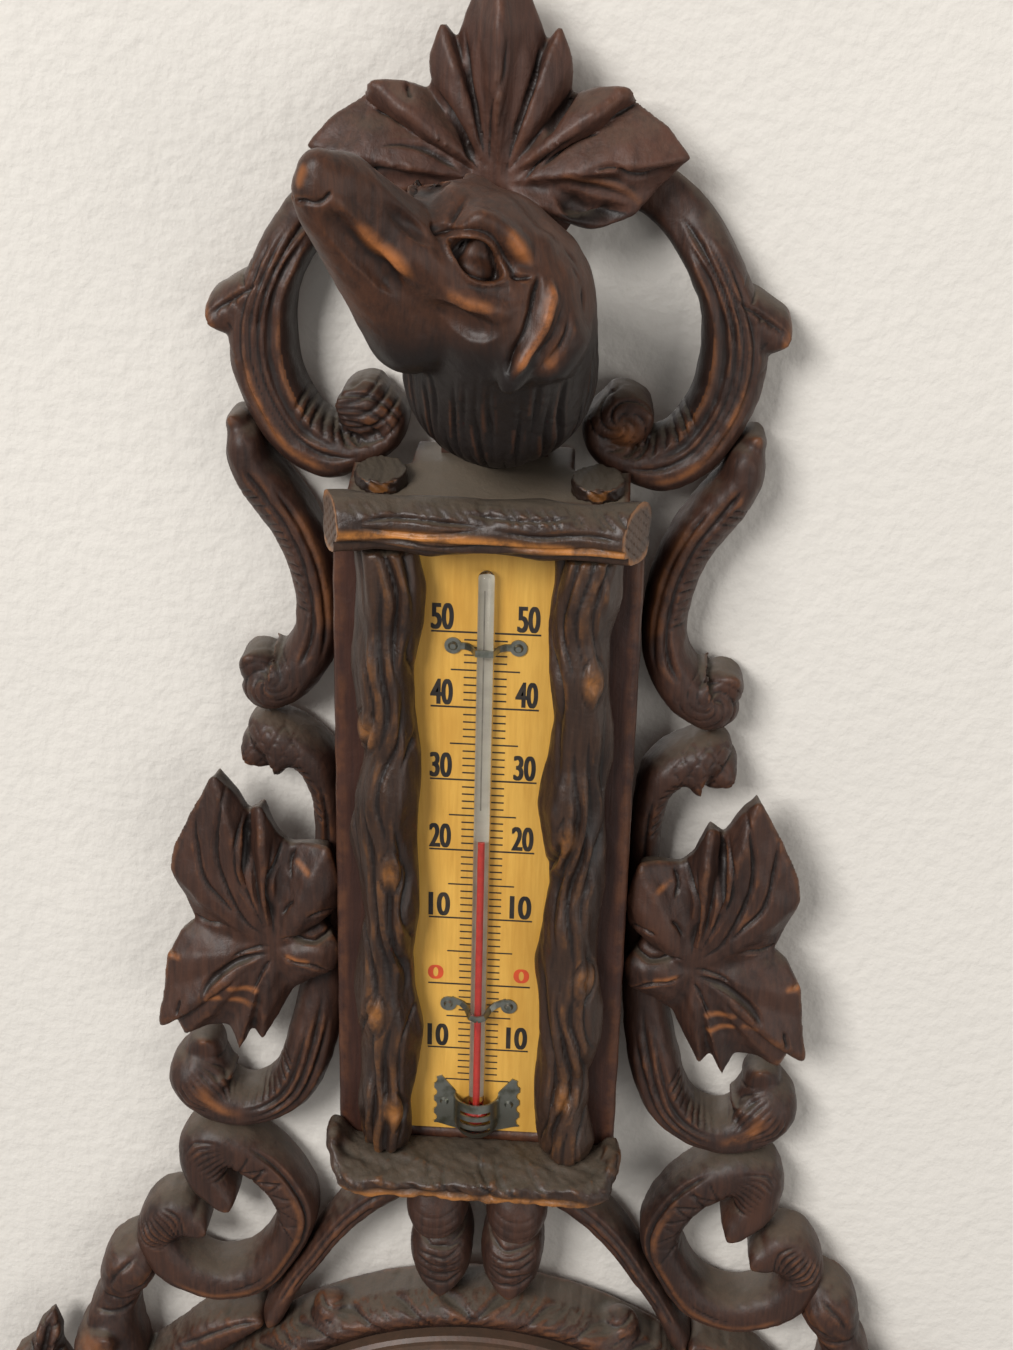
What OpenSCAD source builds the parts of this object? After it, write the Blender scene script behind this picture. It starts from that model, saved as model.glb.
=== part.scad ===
// Carved wall barometer with a thermometer case, a hound's head and an aneroid movement.
// The wall is the plane y = 0, the front looks along -Y, and +Z is up.
// The origin is the mouth of the hanging hole in the back of the crest.

/* [Carved openwork] */
// Front of the openwork, measured from the wall
carve_front = 18; // [16:0.5:20]
// Back of the openwork, measured from the wall
carve_back = 2; // [1:0.5:3]
// Thickness of the board behind the crest, which takes the hanging hole
crest_board_t = 10; // [8:0.5:12]
// Half width of the neck of the crest board
crest_neck_half = 13; // [10:1:15]
// Front of the crest leaf at its ribs, measured from the wall
crest_leaf_front = 26; // [22:0.5:28]
// Diameter of the hanging hole
hang_d = 8; // [5:0.5:10]
// Depth of the hanging hole
hang_depth = 9; // [6:0.5:9.5]
// Gap between carved members that are glued against each other
seat_gap = 0.3; // [0.1:0.1:0.4]
// Front of the side leaves at their ribs, measured from the wall
leaf_front = 25; // [22:0.5:28]
// Front of the long scroll where a side leaf lies on it
leaf_bed = 13; // [11:0.5:15]

/* [Thermometer case] */
// From the hanging hole down to the top of the roof board
roof_drop = 65.5; // [62:0.5:70]
// Width of the case
case_w = 75; // [70:1:82]
// Height of the case board below the roof
case_h = 177; // [170:1:186]
// Thickness of the case board
case_t = 28; // [26:0.5:32]
// Thickness of the roof board
roof_t = 13.5; // [11:0.5:15]
// Depth of the roof board from the wall
roof_d = 34; // [32:0.5:38]
// Fall of the roof towards its front
roof_fall = 4; // [2:0.5:5]
// Depth of the roof's level part
roof_ledge = 17; // [15:0.5:20]
// Half width of the roof board
roof_half = 33.2; // [32:0.2:35]
// Half width of the roof board behind the rings
roof_back_half = 19.5; // [17:0.5:20]
// Diameter of the roof log
roof_log_d = 15; // [13:0.5:17]
// Diameter of a sawn stub on the roof
stub_d = 12.8; // [11:0.2:13.2]
// Height of a sawn stub over the roof
stub_h = 3.4; // [2.5:0.1:4.5]
// Distance of a sawn stub from the middle
stub_x = 25.5; // [22:0.5:28]
// Width of a side log
side_log_w = 14.5; // [13:0.5:16]
// Distance from the side of the case to the middle of a side log
side_log_in = 13.1; // [12:0.1:14]
// Height of a side log over the case board
side_log_h = 13; // [10:0.5:15]
// Height of the base shelf
shelf_h = 10; // [9:0.5:12]
// Front of the base shelf, measured from the wall
shelf_front = 47; // [42:1:52]

/* [Thermometer] */
// Width of the scale plate
plate_w = 36; // [34:0.5:38]
// Gap between an end of the scale plate and the roof or the shelf
plate_end_gap = 2; // [1:0.25:3]
// Thickness of the scale plate
plate_t = 3.5; // [2.5:0.5:5]
// Clearance round the scale plate in its recess
plate_gap = 0.25; // [0.1:0.05:0.4]
// Length of one degree on the scale
degree = 2; // [1.9:0.05:2.05]
// Temperature that the column shows
reading = 22; // [-10:0.5:50]
// Height of the bulb's centre over the foot of the plate
bulb_up = 7; // [6:0.5:9]
// Height of the zero line over the bulb's centre
zero_up = 39; // [36:1:42]
// Diameter of the glass tube
tube_d = 4.4; // [3.5:0.1:5]
// Diameter of the bore in the tube
tube_bore = 1.2; // [0.8:0.1:1.6]
// Distance from the top of the tube to the top of the plate
tube_top_gap = 7; // [5:0.5:9]
// Diameter of the bulb
bulb_d = 6.4; // [5.5:0.1:7]
// Distance of a clip nail from the middle
clip_half = 8; // [7:0.25:9.5]
// Thickness of the clips and the guard
sheet_t = 0.5; // [0.4:0.05:0.7]
// Diameter of a nail's shank
nail_d = 1.2; // [1:0.1:1.5]
// Diameter of a nail's head
nail_head_d = 2.4; // [2:0.1:2.8]
// Height of the upper clip over the zero line
upper_clip_up = 96.5; // [88:0.5:98]
// Depth of the lower clip under the zero line
lower_clip_down = 6; // [4:0.5:9]
// Width across the bulb guard
guard_w = 23; // [21:0.5:25]
// Height of the bulb guard
guard_h = 17; // [15:0.5:19]

/* [Dial surround] */
// Height of the posts between the shelf and the dial board
post_h = 54; // [50:1:58]
// Outer radius of the bezel
bezel_r = 86.2; // [84:0.2:88]
// Width of the bezel from its outside to its mouth
bezel_w = 26.2; // [25:0.2:27]
// Width of the bezel's lip over the glass
lip_w = 7.5; // [7:0.25:8.5]
// Width of the carved wreath on the dial board
wreath_w = 11.5; // [10:0.5:13]
// Front of the wreath, measured from the wall
wreath_front = 23; // [21:0.5:25]
// Front of the seat for the bezel, measured from the wall
seat_front = 18; // [16:0.5:19]
// Front of the bezel, measured from the wall
bezel_front = 43; // [42:0.5:46]

/* [Barometer] */
// Width of the flange round the brass drum
flange_w = 8; // [7:0.25:9]
// Gap between the drum's flange and the bezel
flange_gap = 1.5; // [1:0.1:2]
// Wall of the brass drum
drum_wall = 1; // [0.8:0.1:1.5]
// Back of the drum, measured from the wall
drum_back = 3; // [2.5:0.5:3.5]
// Front of the drum, which carries the dial, measured from the wall
drum_front = 30; // [29.5:0.25:30.5]
// Gap between the dial plate's edge and the bezel
dial_gap = 4; // [3:0.25:5]
// Thickness of the dial plate
dial_t = 0.9; // [0.6:0.1:1]
// Thickness of the glass
glass_t = 2.5; // [2:0.25:3]
// Front of the rebate that the glass lies in, measured from the wall
lip_back = 37; // [36.5:0.25:38]
// Radius of the capsule
capsule_r = 21; // [18:0.5:24]
// Height of the capsule
capsule_h = 6.5; // [5.5:0.25:7]
// Radius of the pointer's arbor
arbor_r = 0.8; // [0.6:0.05:1]
// Length of the pointer from the arbor to its tip
pointer_l = 50; // [40:1:54]
// Radius of the shaft of the set hand
set_shaft_r = 1.2; // [0.9:0.05:1.5]
// Radius of the knob of the set hand
knob_r = 5; // [4:0.25:6.5]
// Length of the knob of the set hand
knob_l = 7; // [5:0.5:9]
// Distance of the rocker's axis from the middle
rocker_up = 38; // [36:0.5:40]
// Radius of the rocker's shaft
rocker_r = 1; // [0.8:0.05:1.2]
// Length of the rocker's short arm
short_arm = 4; // [3.5:0.25:4.5]
// Radial clearance of shafts in their bearings
run_gap = 0.05; // [0.02:0.01:0.09]
// Radius of the adjusting screw
adjust_r = 2; // [1.6:0.1:2.4]

/* [Hound's head] */
// Snout's direction seen from above, from the right round to the left front
head_turn = -136; // [-142:1:-130]
// Rise of the snout
head_lift = 29; // [25:1:33]
// Roll of the head
head_roll = -16; // [-20:1:-12]
// Place of the point between the eyes to the left of the middle
head_left = 7.5; // [4:0.5:11]
// Place of the point between the eyes in front of the wall
head_out = 60; // [56:0.5:64]
// Place of the point between the eyes below the hanging hole
head_down = 3.5; // [0:0.5:7]

// Radius of the neck's round end
neck_r = 22.4; // [21:0.2:23]

/* [Hidden] */
$fn = 64;

wood = [0.27, 0.15, 0.09];
dark_wood = [0.2, 0.11, 0.07];
brass = [0.75, 0.6, 0.3];
steel = [0.62, 0.62, 0.62];

// Levels down from the hanging hole
roof_top = -roof_drop;
case_top = roof_top - roof_t;
case_bottom = case_top - case_h;
shelf_top = case_bottom + 3;
shelf_bottom = shelf_top - shelf_h;
plate_mid = (case_top + shelf_top) / 2;
plate_h = case_top - shelf_top - 2 * plate_end_gap;
bulb_z = plate_mid - plate_h / 2 + bulb_up;
zero_z = bulb_z + zero_up;
tube_l = plate_mid + plate_h / 2 - tube_top_gap - bulb_z;

// Radii round the dial, from the bezel outwards and inwards
wreath_r = bezel_r + seat_gap + wreath_w;
bezel_mouth_r = bezel_r - bezel_w;
rebate_r = bezel_mouth_r + lip_w;
dial_r = rebate_r - dial_gap;
drum_r = rebate_r - flange_gap - flange_w;
screw_pcr = drum_r + flange_w / 2;
dial_z = shelf_bottom - post_h - wreath_r;

// Levels beside the case: kept to the roof above and to the shelf below, stretched in between
run_drop = 84;
run_rise = 28;
drawn_run = 85.5;
run_h = roof_top - shelf_bottom - run_drop - run_rise;
function down(d) =
    d <= run_drop ? roof_top - d
    : d <= run_drop + drawn_run ? roof_top - run_drop - (d - run_drop) * run_h / drawn_run
    : shelf_bottom + run_rise + drawn_run + run_drop - d;

// Smooth curve through hand-chosen stations, k steps from one to the next
function curve_at(a, b, c, d, t) =
    (2 * b + (c - a) * t + (2 * a - 5 * b + 4 * c - d) * t * t + (3 * b - a - 3 * c + d) * t * t * t) / 2;
function smooth_path(p, k) = [
    for (i = [0 : len(p) - 2], j = [0 : k - 1])
        curve_at(p[max(i - 1, 0)], p[i], p[i + 1], p[min(i + 2, len(p) - 1)], j / k),
    p[len(p) - 1]
];

// Local z runs from the wall to the viewer, local y runs up
module facing(x = 0, z = 0) {
    translate([x, 0, z]) rotate([90, 0, 0]) children();
}
module at_dial() {
    facing(0, dial_z) children();
}
module mirrored(side) {
    mirror([side < 0 ? 1 : 0, 0, 0]) children();
}

// One station of a carved member: [x, z, width, front, back]
module bead(s) {
    mid = (s[3] + s[4]) / 2;
    facing(s[0], s[1]) {
        translate([0, 0, s[4]]) cylinder(h = mid - s[4], r1 = s[2] * 0.45, r2 = s[2] * 0.5, $fn = 8);
        translate([0, 0, mid]) cylinder(h = s[3] - mid, r1 = s[2] * 0.5, r2 = s[2] * 0.25, $fn = 8);
    }
}
module carved_member(stations, steps) {
    p = smooth_path(stations, steps);
    for (i = [0 : len(p) - 2])
        hull() {
            bead(p[i]);
            bead(p[i + 1]);
        }
}

// A leaf in relief: its outline is [x, z, lift] round the place where the ribs meet
module relief_leaf(centre, outline, front, back, cup) {
    n = len(outline);
    fr = [0.4, 0.75, 1];
    depth = front - back;
    function at(i, f, y) = [
        centre[0] + (outline[i][0] - centre[0]) * f, -y, centre[1] + (outline[i][1] - centre[1]) * f
    ];
    pts = concat(
        [[centre[0], -(front - cup), centre[1]]],
        [for (i = [0 : n - 1]) at(i, fr[0], back + depth * (0.62 + 0.38 * outline[i][2]))],
        [for (i = [0 : n - 1]) at(i, fr[1], back + depth * (0.5 + 0.5 * outline[i][2]))],
        [for (i = [0 : n - 1]) at(i, fr[2], back + depth * (0.3 + 0.45 * outline[i][2]))],
        [for (i = [0 : n - 1]) at(i, 0.97, back)],
        [[centre[0], -back, centre[1]]]
    );
    last = 4 * n + 1;
    faces = concat(
        [for (i = [0 : n - 1]) [0, 1 + i, 1 + (i + 1) % n]],
        [for (k = [0 : 2], i = [0 : n - 1])
            [1 + k * n + i, 1 + (k + 1) * n + i, 1 + k * n + (i + 1) % n]],
        [for (k = [0 : 2], i = [0 : n - 1])
            [1 + k * n + (i + 1) % n, 1 + (k + 1) * n + i, 1 + (k + 1) * n + (i + 1) % n]],
        [for (i = [0 : n - 1]) [1 + 3 * n + i, last, 1 + 3 * n + (i + 1) % n]]
    );
    polyhedron(points = pts, faces = faces, convexity = 6);
}

module crest_board() {
    color(dark_wood) difference() {
        facing() linear_extrude(crest_board_t) union() {
            translate([-crest_neck_half, roof_top]) square([2 * crest_neck_half, roof_drop]);
            circle(r = 19);
            translate([-8, 0]) square([16, 28]);
        }
        facing() translate([0, 0, -1]) cylinder(h = hang_depth + 1, d = hang_d);
    }
}

module crest_leaf() {
    half = [
        [0, 47, 1], [5.5, 42, 0.4], [9.5, 33, 0.3], [10, 31, 0], [13, 35, 0.5], [15.5, 27, 0.4],
        [16, 20, 0], [22, 22, 0.5], [28.5, 22, 0.7], [30, 18, 0], [37, 14, 0.5], [43, 8, 0.9],
        [40, 4.5, 0.4], [36, 0, 0.3], [31, -6, 0.5], [22, -9, 0.7], [14, -8, 0.2], [6, -6, 0]
    ];
    n = len(half);
    outline = concat(half, [for (i = [n - 1 : -1 : 1]) [-half[i][0], half[i][1], half[i][2]]]);
    color(wood) relief_leaf([0, 1], outline, crest_leaf_front, crest_board_t + 0.01, 5);
}

// Upper ring: it starts under the crest leaf and ends in a volute on the roof
module upper_ring() {
    x0 = case_w / 2;
    z0 = roof_top;
    b = carve_back;
    tuck = crest_board_t - seat_gap;
    full = carve_front;
    carved_member([
        [x0 - 11.5, z0 + 66, 11, tuck, b], [x0 - 2.5, z0 + 64, 12, tuck, b],
        [x0 + 5, z0 + 58.5, 12.5, tuck + 1, b], [x0 + 11, z0 + 50.5, 12.5, full - 2, b],
        [x0 + 16, z0 + 40.5, 13, full, b], [x0 + 18.4, z0 + 31, 15.5, full, b],
        [x0 + 18.2, z0 + 22, 16, full, b], [x0 + 15.6, z0 + 13.5, 15.6, full, b],
        [x0 + 10, z0 + 4.8, 15.6, full, b], [x0 + 2.4, z0 + 0.4, 15, full, b],
        [x0 - 5.2, z0 + 0.6, 9, full, b], [x0 - 11.3, z0 + 3.8, 7.5, full - 1, b],
        [x0 - 12.8, z0 + 8.8, 8, full - 1, b], [x0 - 7.4, z0 + 11, 16, full, b]
    ], 2);
    // Sawn knob on the ring's outer side
    hull() {
        bead([x0 + 22, z0 + 35, 13, full - 1, b + 2]);
        bead([x0 + 27, z0 + 34.5, 8.5, full - 4, b + 4]);
    }
}
module ring_left() {
    color(wood) mirrored(-1) upper_ring();
}
module ring_right() {
    color(wood) upper_ring();
}

// Side scroll: it hangs from the ring, runs down beside the case and ends in a volute
module side_scroll() {
    x0 = case_w / 2;
    z0 = roof_top;
    full = carve_front;
    b = carve_back;
    carved_member([
        [x0 + 24.9, z0 + 7.6, 4.6, full - 2, b + 1], [x0 + 23.4, z0 + 2.2, 8.4, full, b],
        [x0 + 22.1, z0 - 4, 10.8, full, b], [x0 + 17.6, z0 - 11, 12.4, full, b],
        [x0 + 11.8, z0 - 19.5, 12, full, b], [x0 + 7.6, z0 - 30.5, 11.6, full, b],
        [x0 + 6, z0 - 43, 11.3, full, b], [x0 + 7.8, z0 - 52, 12.4, full, b],
        [x0 + 13, z0 - 59.5, 13.5, full, b], [x0 + 18.8, z0 - 60.8, 18.6, full, b],
        [x0 + 21, z0 - 59, 12, full - 3, b + 3]
    ], 2);
}
module side_scroll_left() {
    color(wood) mirrored(-1) side_scroll();
}
module side_scroll_right() {
    color(wood) side_scroll();
}

// Long scroll: a volute, a straight run behind the side leaf and a bud at the lower end
module long_scroll() {
    x0 = case_w / 2;
    full = carve_front;
    b = carve_back;
    carved_member([
        [x0 + 21, down(81), 12, full - 3, b + 3], [x0 + 18.8, down(79.9), 18.6, full, b],
        [x0 + 12.5, down(80.2), 12.5, full, b], [x0 + 7.3, down(84.5), 10.6, full, b],
        [x0 + 5, down(93), 8.6, full - 2, b], [x0 + 4.4, down(105), 8, leaf_bed, b],
        [x0 + 4.7, down(123), 8.6, leaf_bed, b], [x0 + 5.4, down(140), 10, leaf_bed, b],
        [x0 + 7, down(155), 12.5, leaf_bed + 1, b], [x0 + 10, down(171), 14, full - 1, b],
        [x0 + 14.5, down(184), 13, full, b], [x0 + 21.5, down(191), 11.5, full, b],
        [x0 + 30, down(193.4), 12.5, full, b], [x0 + 38, down(190.5), 16, full, b],
        [x0 + 41.3, down(184), 19.2, full, b], [x0 + 40.5, down(177), 11, full - 4, b + 2]
    ], 2);
}
module long_scroll_left() {
    color(wood) mirrored(-1) long_scroll();
}
module long_scroll_right() {
    color(wood) long_scroll();
}

// Side leaf: five lobes round the place where the ribs meet
module side_leaf() {
    x0 = case_w / 2;
    outline = [
        [32.5, -84.7, 0.9], [36, -92.2, 0.5], [40, -100.2, 0.4], [43.5, -107.2, 0.4], [45, -114.2, 0.5],
        [42.5, -122.2, 0.2], [40, -130.7, 0], [44, -134.2, 0.2], [47.5, -141.2, 0.5], [48, -150.2, 0.4],
        [50, -162.2, 0.9], [45.5, -160.2, 0.4], [43.5, -165.2, 0.6], [38, -163.2, 0.3], [31.5, -162.7, 0.3],
        [28.5, -169.2, 0.7], [25, -163.2, 0.2], [22, -166.2, 0.6], [17, -157.2, 0.3], [14, -151.2, 0],
        [8, -146.2, 0.4], [1.5, -142.2, 0.7], [0.8, -135.2, 0.6], [5.5, -128.2, 0.1], [1, -123.2, 0.4],
        [0.8, -114.2, 0.8], [3, -105.2, 0.7], [8, -105.2, 0.3], [13.5, -105.7, 0.1], [17, -102.2, 0.4],
        [20.5, -93.2, 0.9], [24.5, -96.7, 0.2], [28, -90.2, 0.5]
    ];
    placed = [for (p = outline) [x0 + p[0], down(-p[1]), p[2]]];
    relief_leaf([x0 + 19, down(136.2)], placed, leaf_front, leaf_bed + 2 * seat_gap, 4);
}
module side_leaf_left() {
    color(wood) mirrored(-1) side_leaf();
}
module side_leaf_right() {
    color(wood) side_leaf();
}

// Low ring: a closed loop with a bud outside and a bud inside
module low_ring() {
    x0 = case_w / 2;
    full = carve_front;
    b = carve_back;
    carved_member([
        [x0 + 37.3, down(223.5), 10.5, full - 2, b + 2], [x0 + 41.3, down(217.5), 13, full, b],
        [x0 + 40.3, down(208.3), 16.6, full, b], [x0 + 31.5, down(208.1), 14.6, full, b],
        [x0 + 21, down(216.5), 13, full, b], [x0 + 15.1, down(229.5), 12, full, b],
        [x0 + 19.8, down(243), 11.2, full, b], [x0 + 28, down(253), 12.6, full, b],
        [x0 + 39.5, down(256), 13.5, full, b], [x0 + 51.5, down(251), 14, full, b],
        [x0 + 56.6, down(240.5), 12.5, full, b], [x0 + 51, down(233), 16.5, full, b],
        [x0 + 46.5, down(234), 12, full - 2, b + 2]
    ], 2);
}
module low_ring_left() {
    color(wood) mirrored(-1) low_ring();
}
module low_ring_right() {
    color(wood) low_ring();
}

// Brace from under the shelf out to the dial board
module brace() {
    x0 = case_w / 2;
    full = carve_front - 2;
    b = carve_back;
    end_w = 7;
    end_r = wreath_r + seat_gap + end_w / 2;
    end_a = acos((x0 + 22.6) / end_r);
    carved_member([
        [x0 - 12.9, shelf_bottom - 21.2, 8.6, full, b], [x0 - 6.5, shelf_bottom - 26, 8.8, full, b],
        [x0 - 0.7, shelf_bottom - 31.7, 8.6, full, b], [x0 + 4.7, shelf_bottom - 38.6, 7.6, full, b],
        [x0 + 9.9, shelf_bottom - 47, 7, full, b], [x0 + 16.1, shelf_bottom - 56.6, 6.4, full, b],
        [end_r * cos(end_a), dial_z + end_r * sin(end_a), end_w, full, b]
    ], 2);
}
module brace_left() {
    color(wood) mirrored(-1) brace();
}
module brace_right() {
    color(wood) brace();
}

// Post: two buds one above the other, the lower one lying over the edge of the wreath
module post() {
    b = carve_back + 2;
    top_w = 12;
    tip_x = 10;
    tip_w = 8;
    tip_r = wreath_r + seat_gap + tip_w / 2;
    carved_member([
        [11, shelf_bottom - seat_gap - top_w / 2, top_w, 20, b], [11.3, shelf_bottom - 12, 16.5, 22, b],
        [11.6, shelf_bottom - 19, 18.4, 24, b], [11, shelf_bottom - 25, 15.5, 23, b],
        [10.4, shelf_bottom - 29.5, 15.5, 23, b], [10.4, shelf_bottom - 36, 18.4, 24, b],
        [10.2, shelf_bottom - 43, 14.5, 23, b],
        [tip_x, dial_z + sqrt(tip_r * tip_r - tip_x * tip_x), tip_w, 21, b]
    ], 2);
}
module post_left() {
    color(wood) mirrored(-1) post();
}
module post_right() {
    color(wood) post();
}

// Balls of the head, in the head's own directions: snout along x, near side +y, crown +z
module lump(x, y, z, r) {
    translate([x, y, z]) sphere(r = r, $fn = 14);
}
module head_side(side) {
    // Brow over the eye
    hull() {
        lump(3, side * 9, 5, 4.5);
        lump(-7, side * 11, 7, 5.5);
        lump(-4, side * 5, 8, 6);
    }
    // Cheek bone from the eye to the corner of the mouth
    hull() {
        lump(2, side * 9, -5, 6);
        lump(-8, side * 11, -6, 8.5);
        lump(12, side * 5, -6, 6);
    }
    // Ear lying back along the neck
    hull() {
        lump(-11, side * 13.5, 9, 3.5);
        lump(-17, side * 12, 6, 4);
        lump(-20, side * 19, -5, 4.5);
        lump(-11, side * 20, -5, 3.2);
    }
    hull() {
        lump(-20, side * 19, -5, 4.5);
        lump(-11, side * 20, -5, 3.2);
        lump(-16.5, side * 22.5, -17.5, 2.8);
    }
}
module hound_head() {
    color(wood) union() {
        translate([-head_left, -head_out, -head_down]) rotate([head_roll, -head_lift, head_turn]) {
            head_side(1);
            head_side(-1);
            // Skull
            hull() {
                lump(-14, 0, 0, 15.5);
                lump(-2, 0, 1, 11.5);
            }
            // Bridge of the snout and the nose
            hull() {
                lump(4, 0, 1.5, 8.5);
                lump(31, 0, -1.5, 6);
            }
            hull() {
                lump(10, 0, -5, 8.5);
                lump(33, 0, -5, 6);
                lump(36, 0, -1.5, 4.5);
            }
            // Lower jaw and the hanging throat
            hull() {
                lump(31, 0, -7.5, 5.3);
                lump(21, 0, -11.2, 6);
                lump(8, 0, -15.6, 8.2);
            }
            hull() {
                lump(8, 0, -15.6, 8.2);
                lump(-5, 0, -20, 10.5);
                lump(-6, 0, -8, 12);
            }
        }
        // Neck, from the back of the skull down to the round end over the roof
        hull() {
            translate([4, -53, -18]) sphere(r = 20, $fn = 18);
            translate([2.4, -34.5, -37.6]) sphere(r = neck_r, $fn = 24);
        }
        hull() {
            translate([2.4, -34.5, -37.6]) sphere(r = neck_r, $fn = 24);
            facing(2, roof_top + 22) translate([0, 0, crest_board_t + 0.02])
                cylinder(h = 12, r = 14, $fn = 24);
            translate([1, -22, roof_top + 9 + seat_gap]) sphere(r = 9, $fn = 16);
        }
    }
}

module case_board() {
    color(dark_wood) difference() {
        facing() linear_extrude(case_t) translate([-case_w / 2, case_bottom]) square([case_w, case_h]);
        // Recess for the scale plate, and the notch behind it for the bulb
        facing(0, plate_mid) translate([0, 0, case_t - plate_t]) linear_extrude(plate_t + 1)
            square([plate_w + 2 * plate_gap, plate_h + 2 * plate_gap], center = true);
    }
}

module roof_board() {
    profile = [
        [0, case_top], [-roof_d, case_top], [-roof_d, roof_top - roof_fall], [-roof_ledge, roof_top], [0, roof_top]
    ];
    front = carve_front + seat_gap;
    color(dark_wood) difference() {
        translate([-roof_half, 0, 0]) rotate([90, 0, 90]) linear_extrude(2 * roof_half) polygon(profile);
        // Room for the rings behind the roof's ends
        for (side = [-1, 1]) mirrored(side)
            translate([roof_back_half, -front, case_top - 1]) cube([case_w, front + 1, roof_t + 2]);
    }
}

// A log lying along x against the roof's front, its top level with the roof
roof_log_z = roof_top - roof_log_d / 2 - seat_gap;
module roof_log() {
    r = roof_log_d / 2;
    zc = roof_log_z;
    ends = case_w / 2 + 0.5;
    yc = roof_d + r + 0.05;
    p = [for (i = [0 : 12]) [
        -ends + i * ends / 6,
        r * (i == 0 || i == 12 ? 1.02 : 0.93 + 0.06 * sin(i * 103)),
        0.35 * sin(i * 61)
    ]];
    color(dark_wood) intersection() {
        union()
            for (i = [0 : 11])
                hull()
                    for (k = [i, i + 1])
                        translate([p[k][0], -yc + p[k][2] * 0.5, zc + p[k][2]]) rotate([0, 90, 0])
                            cylinder(h = 0.1, r = p[k][1], $fn = 12);
        translate([-case_w, -roof_d - 2 * roof_log_d, zc - roof_log_d])
            cube([2 * case_w, 2 * roof_log_d, 2 * roof_log_d]);
    }
}

// Short stubs standing square on the sloping part of the roof
module roof_stubs() {
    slope = atan2(roof_fall, roof_d - roof_ledge);
    seat = stub_d / 2 / cos(slope) + seat_gap;
    out = roof_d - seat;
    color(dark_wood)
        for (side = [-1, 1])
            translate([side * stub_x, -out, roof_top - (out - roof_ledge) * tan(slope)]) rotate([slope, 0, 0])
                translate([0, 0, 0.02]) cylinder(h = stub_h, d1 = stub_d, d2 = stub_d * 0.96, $fn = 32);
}

// A bark log standing on the case board beside the scale plate
module side_log(side) {
    xm = case_w / 2 - side_log_in;
    n = 15;
    h = case_h - 7;
    b = case_t + 0.02;
    s = [for (i = [0 : n]) [
        side * xm + 1.1 * sin(i * 97 + side * 40),
        case_top - 0.3 - i * h / n,
        side_log_w * (0.96 + 0.09 * sin(i * 71 + side * 25)),
        case_t + side_log_h * (0.92 + 0.08 * sin(i * 131)),
        b
    ]];
    for (i = [0 : n - 1])
        hull() {
            bead(s[i]);
            bead(s[i + 1]);
        }
}
module side_log_left() {
    color(dark_wood) trimmed() side_log(-1);
}
module side_log_right() {
    color(dark_wood) trimmed() side_log(1);
}
// Keeps a log between the roof and the shelf
module trimmed() {
    intersection() {
        children();
        translate([-case_w, -case_t - 2 * side_log_h, shelf_top + 0.1])
            cube([2 * case_w, case_t + 2 * side_log_h, roof_log_z - roof_log_d * 0.52 - shelf_top - 0.3]);
    }
}

// Split log with upturned ends, fixed to the front of the case board under the thermometer
module base_shelf() {
    x1 = case_w / 2;
    b = case_t + 0.02;
    zc = shelf_bottom + shelf_h / 2;
    color(dark_wood) intersection() {
        union() {
            carved_member([
                [-x1 - 0.5, zc + 8, 4.5, shelf_front - 8, b], [-x1 + 2.2, zc + 2, 8, shelf_front - 4, b],
                [-x1 + 8, zc, shelf_h, shelf_front, b], [0, zc, shelf_h + 0.5, shelf_front, b],
                [x1 - 8, zc, shelf_h, shelf_front, b], [x1 - 2.2, zc + 2, 8, shelf_front - 4, b],
                [x1 - 0.5, zc + 6, 4.5, shelf_front - 8, b]
            ], 2);
        }
        translate([-case_w, -2 * shelf_front, shelf_bottom - shelf_h])
            cube([2 * case_w, 2 * shelf_front - b, 4 * shelf_h]);
    }
}

module scale_plate() {
    color([0.87, 0.66, 0.25]) difference() {
        facing(0, plate_mid) translate([0, 0, case_t - plate_t]) linear_extrude(plate_t)
            square([plate_w, plate_h], center = true);
        for (z = [zero_z + upper_clip_up, zero_z - lower_clip_down], side = [-1, 1])
            facing(side * clip_half, z) translate([0, 0, case_t - plate_t - 1])
                cylinder(h = plate_t + 2, d = nail_d + 0.04);
        for (side = [-1, 1])
            facing(side * guard_w * 0.38, bulb_z + 2) translate([0, 0, case_t - plate_t - 1])
                cylinder(h = plate_t + 2, d = nail_d + 0.04);
        // Hollow for the bulb
        facing(0, bulb_z) translate([0, 0, case_t - 1.5]) cylinder(h = 3, d = bulb_d + 2.5);
    }
}

tube_y = case_t + tube_d / 2 + 0.15;
module glass_tube() {
    color([0.85, 0.9, 0.9, 0.5]) difference() {
        translate([0, -tube_y, bulb_z]) union() {
            cylinder(h = tube_l - tube_d / 2, d = tube_d);
            translate([0, 0, tube_l - tube_d / 2]) sphere(d = tube_d);
            sphere(d = bulb_d);
        }
        translate([0, -tube_y, bulb_z]) {
            cylinder(h = tube_l - tube_d, d = tube_bore);
            sphere(d = bulb_d - 1);
        }
    }
}
module spirit_column() {
    color([0.8, 0.1, 0.08]) translate([0, -tube_y, bulb_z]) union() {
        sphere(d = bulb_d - 1.06);
        cylinder(h = zero_z + reading * degree - bulb_z, d = tube_bore - 0.06);
    }
}

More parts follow.
